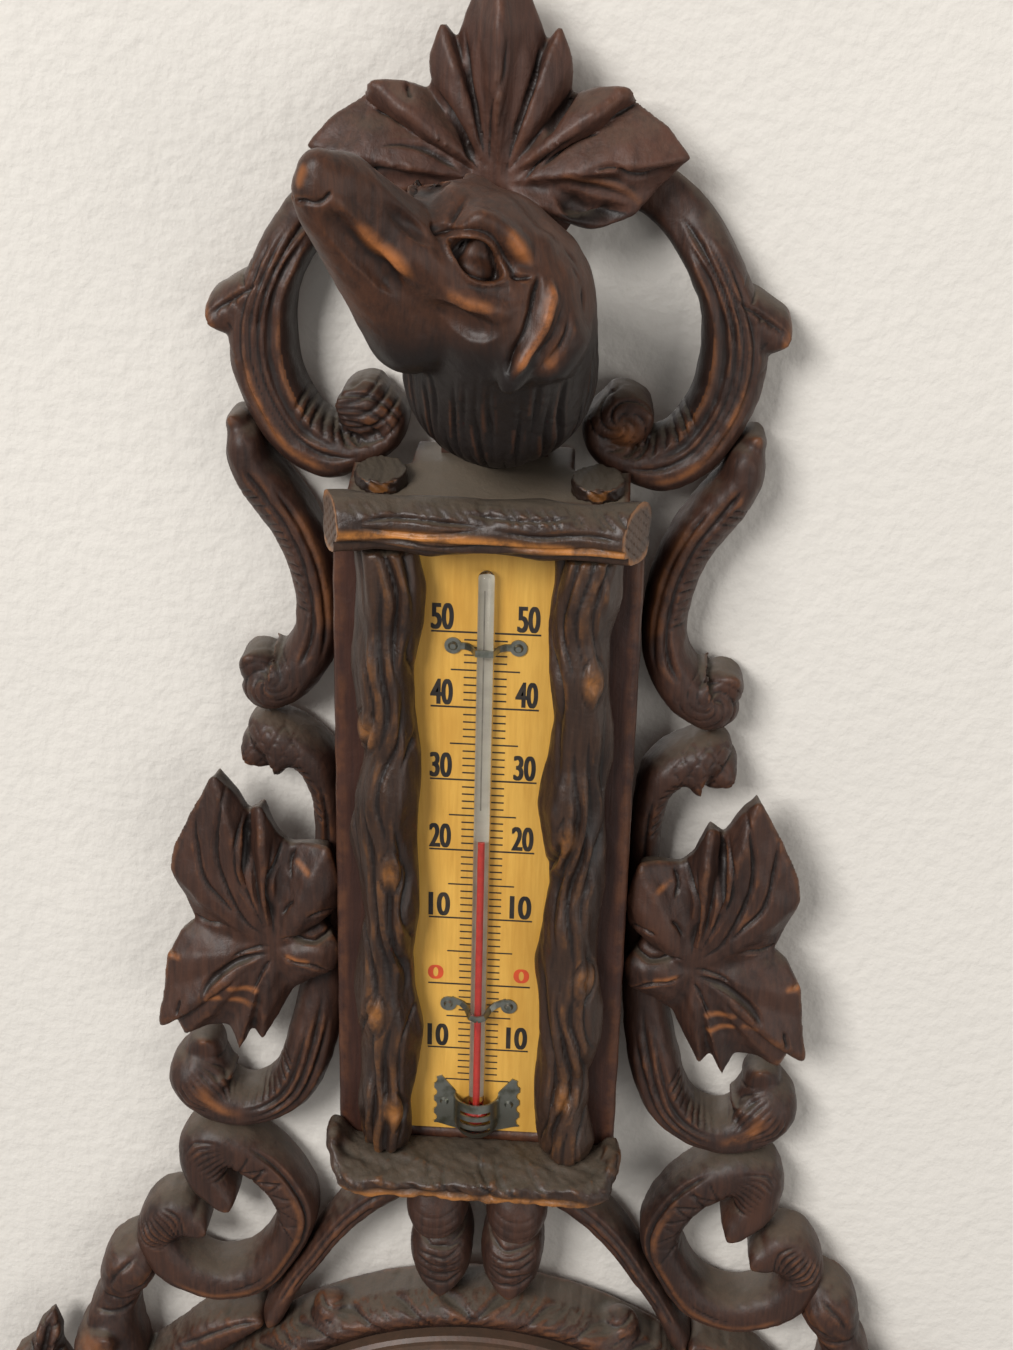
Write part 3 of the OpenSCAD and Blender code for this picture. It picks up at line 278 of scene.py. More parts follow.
class Carver:
    """Holds the points of a fine mesh while tools cut into its front."""

    def __init__(self, piece: Piece) -> None:
        """Reads the points and normals of a piece, in millimetres.

        Args:
            piece: the object whose mesh is carved.
        """
        self.piece = piece
        mesh = piece.data
        count = len(mesh.vertices)
        flat = np.empty(count * 3, np.float32)
        mesh.vertices.foreach_get("co", flat)
        self.co = flat.reshape(-1, 3).astype(float) / MM
        edges = np.empty(len(mesh.edges) * 2, np.int32)
        mesh.edges.foreach_get("vertices", edges)
        self.edges = edges.reshape(-1, 2)
        self.count = count
        self.shift = np.zeros(count)
        # Positive values rub the stain off; negative values darken a place towards the finish's painted-shade
        # colour.
        self.worn = np.zeros(count)
        self.read_normals()

    def read_normals(self) -> None:
        """Reads the vertex normals of the mesh as it is now."""
        flat = np.empty(self.count * 3, np.float32)
        self.piece.data.vertex_normals.foreach_get("vector", flat)
        self.normal = flat.reshape(-1, 3).astype(float)
        self.facing = ramp(-self.normal[:, 1], -0.25, 0.35)

    def nearest(self, line: Array, mask: Array) -> tuple[Array, Array, Array]:
        """Nearest place on a line in the front view.

        Args:
            line: points [x, z, ...] of the line.
            mask: indices of the mesh points that are asked for.
        Returns:
            The run along the line in millimetres, the signed distance from it, and the
            line's remaining columns at the nearest place.
        """
        p = self.co[mask][:, [0, 2]]
        a = line[:-1, :2]
        b = line[1:, :2]
        ab = b - a
        lengths = np.maximum(np.hypot(ab[:, 0], ab[:, 1]), 1e-9)
        start = np.concatenate([[0], np.cumsum(lengths)[:-1]])
        best = np.full(len(p), 1e9)
        run = np.zeros(len(p))
        side = np.zeros(len(p))
        extra = np.zeros((len(p), line.shape[1] - 2))
        for i in range(len(a)):
            ap = p - a[i]
            t = np.clip((ap @ ab[i]) / lengths[i] ** 2, 0, 1)
            off = ap - t[:, None] * ab[i]
            dist = np.hypot(off[:, 0], off[:, 1])
            closer = dist < best
            best = np.where(closer, dist, best)
            run = np.where(closer, start[i] + t * lengths[i], run)
            sign = np.sign(ab[i][0] * ap[:, 1] - ab[i][1] * ap[:, 0])
            side = np.where(closer, dist * np.where(sign == 0, 1, sign), side)
            if extra.shape[1]:
                value = line[i, 2:] + t[:, None] * (line[i + 1, 2:] - line[i, 2:])
                extra = np.where(closer[:, None], value, extra)
        return run, side, extra

    def near(self, line: Array, reach: float) -> Array:
        """Indices of front points whose place in the front view is within reach of the line's box.

        Args:
            line: points of the line.
            reach: distance in millimetres.
        Returns:
            The indices.
        """
        low = line[:, :2].min(0) - reach
        high = line[:, :2].max(0) + reach
        x, z = self.co[:, 0], self.co[:, 2]
        inside = (x > low[0]) & (x < high[0]) & (z > low[1]) & (z < high[1]) & (self.facing > 0.01)
        return np.nonzero(inside)[0]

    def stroke(self, line: Line, width: float, depth: float, kind: Cut = Cut.VEE, fade: float = 0.25,
               steps: int = 6) -> None:
        """Cuts one mark along a line in the front view.

        Args:
            line: points (x, z).
            width: full width of the mark.
            depth: depth at its middle.
            kind: shape across the mark.
            fade: share of the length over which each end runs out.
            steps: smoothness of the line.
        """
        path = smooth_line(line, steps)
        mask = self.near(path, width)
        if not len(mask):
            return
        run, side, _ = self.nearest(path, mask)
        share = run / max(length_of(path), 1e-6)
        taper = ramp(share, -0.02, fade) * ramp(1 - share, -0.02, fade) if fade > 0 else 1.0
        half = width / 2 * (0.35 + 0.65 * taper)
        mark = cut_profile(kind, side / half) * depth * taper * self.facing[mask]
        self.shift[mask] -= np.where(np.abs(side) < half, mark, 0.0)

    def rub(self, line: Line, width: float, amount: float = 1.0) -> None:
        """Rubs the stain off along a line in the front view.

        Args:
            line: points (x, z).
            width: full width of the band.
            amount: how much of the stain is gone at its middle.
        """
        path = smooth_line(line, 4)
        mask = self.near(path, width)
        if len(mask):
            _, side, _ = self.nearest(path, mask)
            self.worn[mask] = np.maximum(self.worn[mask], amount * (1 - ramp(np.abs(side), 0, width / 2)))

    def apply(self, limit: float = 6.0) -> None:
        """Moves the points along their normals by the marks cut so far.

        Args:
            limit: the farthest that a point moves, in millimetres.
        """
        self.co += self.normal * np.clip(self.shift, -limit, limit)[:, None]
        self.shift[:] = 0
        self.write()
        self.read_normals()

    def write(self) -> None:
        """Writes the points back into the mesh."""
        self.piece.data.vertices.foreach_set("co", (self.co * MM).astype(np.float32).ravel())
        self.piece.data.update()

    def relaxed(self, rounds: int) -> Array:
        """The points after some rounds of smoothing.

        Args:
            rounds: rounds of smoothing.
        Returns:
            The points, one row each.
        """
        e0, e1 = self.edges[:, 0], self.edges[:, 1]
        degree = np.bincount(e0, minlength=self.count) + np.bincount(e1, minlength=self.count)
        s = self.co.copy()
        for _ in range(rounds):
            total = np.empty_like(s)
            for k in range(3):
                total[:, k] = (np.bincount(e0, weights=s[e1, k], minlength=self.count)
                               + np.bincount(e1, weights=s[e0, k], minlength=self.count))
            s = (1 - SMOOTHING) * s + SMOOTHING * total / np.maximum(degree, 1)[:, None]
        return s

    def finish(self, rounds: int = 10, reach: float = 0.35) -> None:
        """Stores how far each place stands out of or lies in its surroundings.

        Args:
            rounds: rounds of smoothing that make the surroundings.
            reach: distance in millimetres that counts as full.
        """
        self.write()
        self.read_normals()
        stand = ((self.co - self.relaxed(rounds)) * self.normal).sum(1)
        value = np.clip(stand / reach, -1, 1) * 0.5 + 0.5
        for name, values in (("convex", value), ("worn", self.worn)):
            store = self.piece.data.attributes.new(name, "FLOAT", "POINT")
            store.data.foreach_set("value", values.astype(np.float32))


def skin(work: Work, rings: list[list[bmesh.types.BMVert]]) -> None:
    """Joins rings of points into a closed skin.

    Args:
        work: bmesh that holds the points.
        rings: rings of equal length, in order.
    """
    count = len(rings[0])
    for a, b in zip(rings[:-1], rings[1:]):
        for k in range(count):
            m = (k + 1) % count
            work.faces.new((a[k], a[m], b[m], b[k]))
    work.faces.new(rings[0][::-1])
    work.faces.new(rings[-1])


def sweep(work: Work, stations: Array) -> None:
    """Adds a rounded bar along stations with a domed front and a flat back.

    Args:
        work: bmesh that takes it.
        stations: rows of x, z, width, front and back in millimetres.
    """
    path = curve_at(stations, 6)
    run = np.gradient(path[:, :2], axis=0)
    run /= np.maximum(np.hypot(run[:, 0], run[:, 1]), 1e-9)[:, None]
    rows = []
    for end, sign in ((0, -1), (-1, 1)):
        half = path[end, 2] / 2
        caps = []
        for share in (0.98, 0.9, 0.75, 0.55, 0.3):
            row = path[end].copy()
            row[:2] += sign * run[end] * half * share
            row[2] *= math.sqrt(1 - share * share)
            caps.append((row, run[end]))
        rows.append(caps)
    body = [(path[i], run[i]) for i in range(len(path))]
    everything = rows[0] + body + rows[1][::-1]
    turn = np.linspace(0, 2 * math.pi, 28, endpoint=False)
    c, s = np.cos(turn), np.sin(turn)
    wide = np.sign(c) * np.abs(c) ** np.where(s < 0, 0.25, 0.85)
    rings = []
    for (x, z, w, front, back), (tx, tz) in everything:
        middle = (front + back) / 2
        deep = np.where(s >= 0, middle + (front - middle) * np.abs(s) ** 0.9,
                        middle - (middle - back) * np.abs(s) ** 0.4)
        off = wide * w / 2
        rings.append([work.verts.new(((x - tz * o) * MM, -d * MM, (z + tx * o) * MM))
                      for o, d in zip(off, deep)])
    skin(work, rings)


class Member:
    """A carved member of the openwork, with its middle line in the front view."""

    def __init__(self, nodes: list[str], name: str, side: int, stations: list[Station], front: float = 18.0,
                 more: list[list[Station]] | None = None, voxel: float = 0.6, relax: int = 4) -> None:
        """Builds the member along its middle line and keeps the line.

        Args:
            nodes: CAD nodes that the piece stands for.
            name: name of the piece.
            side: -1 on the left, 1 on the right.
            stations: middle line as (x, z, width) or (x, z, width, front), for the right side.
            front: distance of the front from the wall, where a station has none of its own.
            more: further bars that are part of the piece.
            voxel: size of the mesh's squares in millimetres.
            relax: rounds of smoothing.
        """
        self.nodes = nodes
        work = bmesh.new()
        for bar in [stations, *(more or [])]:
            rows = np.array([[p[0] * side, p[1], p[2], p[3] if len(p) > 3 else front, BACK] for p in bar])
            sweep(work, rows)
        self.piece = finish_bmesh(name, work)
        squares(self.piece, voxel)
        soften(self.piece, relax)
        self.carver = Carver(self.piece)
        self.side = side
        path = np.array([p[:3] for p in stations], float)
        path[:, 0] *= side
        self.line = curve_at(path, 8)
        self.everything = np.arange(self.carver.count)
        self.locate()

    def locate(self) -> None:
        """Works out each point's run along the member and its share of the half width."""
        run, off, extra = self.carver.nearest(self.line, self.everything)
        self.run = run
        self.total = length_of(self.line)
        self.share = run / self.total
        self.half = extra[:, 0] / 2
        self.off = off * self.side
        self.across = self.off / self.half

    def flute(self, at: float, width: float, depth: float, start: float, end: float,
              kind: Cut = Cut.GOUGE, fade: float = 0.06, drift: float = 0.0) -> None:
        """Cuts a long groove along the member.

        Args:
            at: place across the member, -1 to 1.
            width: width as a share of the half width.
            depth: depth in millimetres.
            start: share of the length where it starts.
            end: share of the length where it ends.
            kind: shape across.
            fade: share of the length over which each end runs out.
            drift: how far it moves across from start to end.
        """
        c = self.carver
        t = np.clip((self.share - start) / (end - start), 0, 1)
        place = at + drift * t
        taper = ramp(self.share, start, start + fade) * (1 - ramp(self.share, end - fade, end))
        a = (self.across - place) / (width * (0.4 + 0.6 * taper))
        c.shift -= np.where(np.abs(a) < 1, cut_profile(kind, a), 0) * depth * taper * c.facing

    def cross_cuts(self, start: float, end: float, count: int, inner: float, outer: float, slant: float,
                   width: float, depth: float, kind: Cut = Cut.VEE) -> None:
        """Cuts a row of short marks across the member.

        Args:
            start: share of the length where the row starts.
            end: share of the length where it ends.
            count: number of marks.
            inner: place across where each mark ends.
            outer: place across where each mark starts.
            slant: run in millimetres from the mark's start to its end.
            width: width of a mark in millimetres.
            depth: depth in millimetres.
            kind: shape across a mark.
        """
        c = self.carver
        low, high = min(inner, outer), max(inner, outer)
        along = (self.across - outer) / (inner - outer)
        inside = ramp(self.across, low - 0.12, low + 0.12) * (1 - ramp(self.across, high - 0.12, high + 0.12))
        for k in range(count):
            centre = (start + (end - start) * (k + 0.5 + 0.16 * math.sin(k * 5.3)) / count) * self.total
            a = (self.run - centre - slant * along * (0.9 + 0.2 * math.sin(k * 3.1))) / (width / 2)
            mark = np.where(np.abs(a) < 1, cut_profile(kind, a), 0)
            c.shift -= mark * depth * inside * c.facing * (0.85 + 0.3 * math.sin(k * 7.7))

    def around(self, centre: Pair) -> tuple[Array, Array]:
        """Places of the points from a centre, turned to the right side."""
        c = self.carver
        return c.co[:, 0] * self.side - centre[0], c.co[:, 2] - centre[1]

    def lattice(self, centre: Pair, radius: float, depth: float) -> None:
        """Cuts two crossing sets of bowed lines over a volute.

        Args:
            centre: middle of the volute (x, z), for the right side.
            radius: radius of the marked place.
            depth: depth in millimetres.
        """
        x, z = self.around(centre)
        inside = 1 - ramp(np.hypot(x, z), radius * 0.8, radius * 1.1)
        for bend, turn in ((0.045, 0.35), (-0.05, -0.5)):
            u = x * math.cos(turn) + z * math.sin(turn)
            v = -x * math.sin(turn) + z * math.cos(turn) + bend * u * u
            saw = np.abs(v / 3.6 - np.round(v / 3.6)) * 3.6
            self.carver.shift -= np.clip(1 - saw / 0.75, 0, 1) * depth * inside * self.carver.facing

    def swirl(self, centre: Pair, radius: float, lines: int, depth: float) -> None:
        """Cuts bowed lines that wind into a volute.

        Args:
            centre: middle of the volute (x, z), for the right side.
            radius: radius of the marked place.
            lines: number of lines.
            depth: depth in millimetres.
        """
        x, z = self.around(centre)
        r = np.hypot(x, z)
        inside = 1 - ramp(r, radius * 0.85, radius * 1.1)
        phase = np.arctan2(z, x) / (2 * math.pi) * lines + r / radius * lines * 0.55
        saw = np.abs(phase - np.round(phase)) * (r + 1.2) * 2 * math.pi / lines
        self.carver.shift -= np.clip(1 - saw / 0.9, 0, 1) * depth * inside * self.carver.facing

    def scales(self, centre: Pair, radius: float, depth: float) -> None:
        """Cuts rows of small bows over a volute.

        Args:
            centre: middle of the volute (x, z), for the right side.
            radius: radius of the marked place.
            depth: depth in millimetres.
        """
        x, z = self.around(centre)
        inside = 1 - ramp(np.hypot(x, z), radius * 0.85, radius * 1.1)
        row = np.floor(z / 3.4)
        u = x / 4.2 + 0.5 * (row % 2)
        bow = (z / 3.4 - row) - 0.9 * np.abs(np.sin(math.pi * u)) ** 0.8
        self.carver.shift -= np.clip(1 - np.abs(bow) / 0.2, 0, 1) * depth * inside * self.carver.facing

    def fan(self, low: Pair, high: Pair, count: int, depth: float) -> None:
        """Cuts fine ribs that spread from one end of a bud to the other.

        Args:
            low: end (x, z) where the ribs start.
            high: end where they have spread.
            count: number of ribs.
            depth: depth in millimetres.
        """
        ax, az = high[0] - low[0], high[1] - low[1]
        length = math.hypot(ax, az)
        for k in range(count):
            off = (k - (count - 1) / 2) * 1.9
            nx, nz = -az / length * off, ax / length * off
            line = [(low[0] + nx * 0.35, low[1] + nz * 0.35),
                    (low[0] + ax * 0.55 + nx * 1.1, low[1] + az * 0.55 + nz * 1.1),
                    (high[0] + nx * 0.7, high[1] + nz * 0.7)]
            self.carver.stroke([(self.side * x, z) for x, z in line], 1.4, depth, Cut.VEE, 0.3)

    def wear(self, at: float, width: float, start: float, end: float, amount: float = 1.0) -> None:
        """Rubs the stain off along a band of the member.

        Args:
            at: middle of the band across the member, -1 to 1.
            width: its half width.
            start: share of the length where it starts.
            end: share where it ends.
            amount: how much of the stain is gone.
        """
        c = self.carver
        band = 1 - ramp(np.abs(self.across - at), 0, width)
        length = ramp(self.share, start, start + 0.05) * (1 - ramp(self.share, end - 0.05, end))
        c.worn = np.maximum(c.worn, amount * band * length * c.facing)


# Finishes

class Tree:
    """Short way to place and join shader nodes."""

    def __init__(self, tree: bpy.types.NodeTree) -> None:
        """Keeps the node tree that it fills."""
        self.tree = tree

    def add(self, kind: str, values: dict | None = None, **settings: object) -> bpy.types.Node:
        """Adds a node.

        Args:
            kind: type of the node.
            values: input name or number to a value or to another node's output.
            settings: properties of the node.
        Returns:
            The new node.
        """
        node = self.tree.nodes.new(kind)
        for key, value in settings.items():
            setattr(node, key, value)
        return self.fill(node, values or {})

    def fill(self, node: bpy.types.Node, values: dict) -> bpy.types.Node:
        """Sets inputs of a node.

        Args:
            node: the node.
            values: input name or number to a value or to another node's output.
        Returns:
            The same node.
        """
        for key, value in values.items():
            if isinstance(value, Socket):
                self.tree.links.new(value, node.inputs[key])
            else:
                node.inputs[key].default_value = value
        return node

    def coordinates(self) -> Socket:
        """The object's own coordinates."""
        return self.add("ShaderNodeTexCoord").outputs["Object"]

    def noise(self, scale: object, detail: float, more: dict | None = None) -> Socket:
        """Adds noise and returns its value.

        Args:
            scale: its scale, a number or a node's output.
            detail: how many layers it has.
            more: further inputs, with Vector where it isn't laid by the object's own coordinates.
        Returns:
            The noise as a value.
        """
        values = {"Scale": scale, "Detail": detail, **(more or {})}
        if "Vector" not in values:
            values["Vector"] = self.coordinates()
        return self.add("ShaderNodeTexNoise", values).outputs[0]

    def bump(self, height: Socket, strength: float, distance: float) -> Socket:
        """Turns a height into a normal."""
        values = {"Height": height, "Strength": strength, "Distance": distance}
        return self.add("ShaderNodeBump", values).outputs[0]

    def math(self, operation: str, a: object, b: object = 0.0, clamp: bool = False) -> Socket:
        """Adds a Math node and returns its result."""
        return self.add("ShaderNodeMath", {0: a, 1: b}, operation=operation, use_clamp=clamp).outputs[0]

    def weigh(self, a: Socket, share_a: float, b: Socket, share_b: float) -> Socket:
        """Adds two values, each times its share."""
        return self.math("ADD", self.math("MULTIPLY", a, share_a), self.math("MULTIPLY", b, share_b))

    def mix(self, share: object, a: object, b: object) -> Socket:
        """Mixes two colours and returns the result."""
        return self.add("ShaderNodeMix", {0: share, 6: a, 7: b}, data_type="RGBA").outputs[2]

    def step(self, value: object, low: float, high: float) -> Socket:
        """Smooth step of a value from 0 at low to 1 at high."""
        values = {"Value": value, "From Min": low, "From Max": high}
        return self.add("ShaderNodeMapRange", values, interpolation_type="SMOOTHSTEP").outputs[0]


def rgba(colour: Colour) -> tuple[float, float, float, float]:
    """A colour with full cover."""
    return (*colour, 1.0)


def new_group(name: str, inputs: dict[str, object], outputs: list[str]) -> tuple:
    """Makes an empty shader node group.

    Args:
        name: name of the group.
        inputs: name to default of each input, four numbers for a colour, three for a vector or one.
        outputs: name of each output, Color for a colour and any other for a value.
    Returns:
        The group, its tree helper, its input node and its output node.
    """
    group = bpy.data.node_groups.new(name, "ShaderNodeTree")
    for label, default in inputs.items():
        kind = {4: "Color", 3: "Vector"}[len(default)] if isinstance(default, tuple) else "Float"
        socket = group.interface.new_socket(label, in_out="INPUT", socket_type=f"NodeSocket{kind}")
        socket.default_value = default
    for label in outputs:
        kind = "Color" if label == "Color" else "Float"
        group.interface.new_socket(label, in_out="OUTPUT", socket_type=f"NodeSocket{kind}")
    tree = Tree(group)
    return group, tree, tree.add("NodeGroupInput"), tree.add("NodeGroupOutput")


def grain_group() -> bpy.types.NodeTree:
    """Wood grain that runs up the piece: a colour and a height for bump.

    Returns:
        The node group.
    """
    group, t, given, result = new_group("wood_grain", {
        "Light": (0.1, 0.05, 0.03, 1), "Dark": (0.03, 0.015, 0.01, 1), "Along": (1.0, 1.0, 0.07),
        "Fine": 900.0,
    }, ["Color", "Height"])
    run = t.add("ShaderNodeVectorMath", {0: t.coordinates(), 1: given.outputs["Along"]},
                operation="MULTIPLY").outputs[0]
    fine = t.noise(given.outputs["Fine"], 5.0, {"Vector": run, "Roughness": 0.65, "Distortion": 0.4})
    broad = t.noise(150.0, 4.0, {"Vector": run, "Distortion": 1.2})
    value = t.weigh(t.weigh(fine, 0.45, broad, 0.4), 1.0, t.noise(38.0, 3.0), 0.35)
    colour = t.mix(t.step(value, 0.38, 0.82), given.outputs["Dark"], given.outputs["Light"])
    t.fill(result, {"Color": colour, "Height": fine})
    return group


def wear_group() -> bpy.types.NodeTree:
    """Worn edges and painted shade in hollows, from how far a place stands out; negative worn values darken
    as well.

    Returns:
        The node group.
    """
    group, t, given, result = new_group("worn_edges_and_painted_shade", {
        "Color": (0.1, 0.05, 0.03, 1), "Worn": (0.3, 0.1, 0.03, 1), "Hollow": (0.012, 0.007, 0.005, 1),
        "Amount": 0.7,
    }, ["Color", "Mask"])
    stand = t.add("ShaderNodeAttribute", attribute_name="convex").outputs["Fac"]
    patch = t.noise(120.0, 6.0, {"Roughness": 0.7})
    spread = t.math("MULTIPLY", t.step(patch, 0.38, 0.68), given.outputs["Amount"])
    stored = t.add("ShaderNodeAttribute", attribute_name="worn").outputs["Fac"]
    rubbed = t.math("MULTIPLY", stored, t.step(patch, 0.26, 0.58))
    clean = t.math("ADD", stored, 1.0, clamp=True)
    mask = t.math("MULTIPLY", t.math("MULTIPLY", t.step(stand, 0.66, 0.98), spread), clean)
    mask = t.math("ADD", mask, t.math("MAXIMUM", rubbed, 0.0), clamp=True)
    # Painted shade: hollows darken towards the near-black shade colour, and places with negative worn values
    # darken the same way.
    hollow = t.math("SUBTRACT", 1.0, t.step(stand, 0.12, 0.5))
    hollow = t.math("MAXIMUM", t.math("MULTIPLY", hollow, 0.85), t.math("MULTIPLY", stored, -1.0), clamp=True)
    dark = t.mix(hollow, given.outputs["Color"], given.outputs["Hollow"])
    t.fill(result, {"Color": t.mix(mask, dark, given.outputs["Worn"]), "Mask": mask})
    return group


def dust_group() -> bpy.types.NodeTree:
    """Dust that lies on what faces up.

    Returns:
        The node group.
    """
    group, t, given, result = new_group("settled_dust", {
        "Color": (0.1, 0.05, 0.03, 1), "Dust": (0.17, 0.14, 0.1, 1), "Amount": 0.8,
    }, ["Color", "Mask"])
    up = t.add("ShaderNodeSeparateXYZ", {0: t.add("ShaderNodeNewGeometry").outputs["Normal"]}).outputs[2]
    patch = t.noise(210.0, 7.0, {"Roughness": 0.72})
    lift = t.math("ADD", up, t.math("MULTIPLY", t.math("SUBTRACT", patch, 0.5), 0.55))
    stand = t.add("ShaderNodeAttribute", attribute_name="convex").outputs["Fac"]
    lift = t.math("SUBTRACT", lift, t.math("MULTIPLY", t.step(stand, 0.6, 0.95), 0.25))
    mask = t.math("MULTIPLY", t.step(lift, 0.42, 0.95), given.outputs["Amount"], clamp=True)
    t.fill(result, {"Color": t.mix(mask, given.outputs["Color"], given.outputs["Dust"]), "Mask": mask})
    return group


class Groups:
    """The node groups that several finishes use, each built once."""

    def __init__(self) -> None:
        """Builds the groups."""
        self.grain = grain_group()
        # Worn edges together with painted shade in the hollows.
        self.wear = wear_group()
        self.dust = dust_group()


def shader(name: str) -> tuple[Material, Tree, bpy.types.Node]:
    """A new material with its tree helper and its shader.

    Args:
        name: name of the material.
    Returns:
        The material, its helper and the shader's node.
    """
    material = bpy.data.materials.new(name)
    material.use_nodes = True
    return material, Tree(material.node_tree), material.node_tree.nodes["Principled BSDF"]


@dataclass(frozen=True)
class WoodFinish:
    """Stained wood with grain, worn edges, painted shade in its hollows and dust."""
    name: str
    light: Colour
    dark: Colour
    worn: Colour = (0.3, 0.11, 0.035)
    # Near-black colour of the painted shade in hollows.
    hollow: Colour = (0.010, 0.006, 0.005)
    dust: Colour = (0.15, 0.125, 0.09)
    wear: float = 0.6
    dusty: float = 0.7
    rough: float = 0.42
    coat: float = 0.12
    along: Space = (1.0, 1.0, 0.07)
    bump: float = 0.4
    carved: bool = True

    def build(self, groups: Groups) -> Material:
        """Makes the material.

        Args:
            groups: the shared node groups.
        Returns:
            The material.
        """
        material, t, face = shader(self.name)
        grain = t.add("ShaderNodeGroup",
                      {"Light": rgba(self.light), "Dark": rgba(self.dark), "Along": self.along},
                      node_tree=groups.grain)
        colour = grain.outputs["Color"]
        if self.carved:
            values = {"Color": colour, "Worn": rgba(self.worn), "Hollow": rgba(self.hollow),
                      "Amount": self.wear}
            colour = t.add("ShaderNodeGroup", values, node_tree=groups.wear).outputs["Color"]
        dust = t.add("ShaderNodeGroup", {"Color": colour, "Dust": rgba(self.dust), "Amount": self.dusty},
                     node_tree=groups.dust)
        mask = dust.outputs["Mask"]
        sheen = t.noise(95.0, 5.0, {"Roughness": 0.6})
        rough = t.weigh(mask, 0.45, sheen, 0.34)
        tool = t.noise(330.0, 6.0, {"Roughness": 0.62, "Distortion": 0.6})
        height = t.weigh(grain.outputs["Height"], 0.5, tool, 0.9)
        t.fill(face, {"Base Color": dust.outputs["Color"], "Specular IOR Level": 0.32, "Coat Roughness": 0.3,
                      "Roughness": t.math("ADD", rough, self.rough - 0.17, clamp=True),
                      "Coat Weight": t.math("MULTIPLY", t.math("SUBTRACT", 1.0, mask), self.coat),
                      "Normal": t.bump(height, self.bump, 0.0006)})
        return material


@dataclass(frozen=True)
class MetalFinish:
    """Metal with slight stains and fine scratches."""
    name: str
    colour: Colour
    stain: Colour
    rough: float = 0.35
    metallic: float = 1.0

    def build(self, groups: Groups) -> Material:
        """Makes the material.

        Args:
            groups: the shared node groups.
        Returns:
            The material.
        """
        material, t, face = shader(self.name)
        share = t.step(t.noise(260.0, 5.0), 0.42, 0.7)
        t.fill(face, {"Base Color": t.mix(share, rgba(self.colour), rgba(self.stain)),
                      "Roughness": t.math("ADD", t.math("MULTIPLY", share, 0.2), self.rough),
                      "Metallic": self.metallic, "Normal": t.bump(t.noise(1800.0, 2.0), 0.08, 0.0002)})
        return material


@dataclass(frozen=True)
class PaintFinish:
    """Printed or painted surface with a faint mottle."""
    name: str
    colour: Colour
    second: Colour
    rough: float = 0.5
    scale: float = 300.0
    coat: float = 0.0

    def build(self, groups: Groups) -> Material:
        """Makes the material.

        Args:
            groups: the shared node groups.
        Returns:
            The material.
        """
        material, t, face = shader(self.name)
        share = t.step(t.noise(self.scale, 6.0), 0.35, 0.7)
        t.fill(face, {"Base Color": t.mix(share, rgba(self.colour), rgba(self.second)),
                      "Roughness": t.math("ADD", t.math("MULTIPLY", share, 0.1), self.rough),
                      "Coat Weight": self.coat})
        return material


@dataclass(frozen=True)
class GlassFinish:
    """Clear glass."""
    name: str
    colour: Colour
    rough: float = 0.02
    index: float = 1.47

    def build(self, groups: Groups) -> Material:
        """Makes the material.

        Args:
            groups: the shared node groups.
        Returns:
            The material.
        """
        material, t, face = shader(self.name)
        t.fill(face, {"Base Color": rgba(self.colour), "Roughness": self.rough,
                      "Transmission Weight": 1.0, "IOR": self.index})
        return material


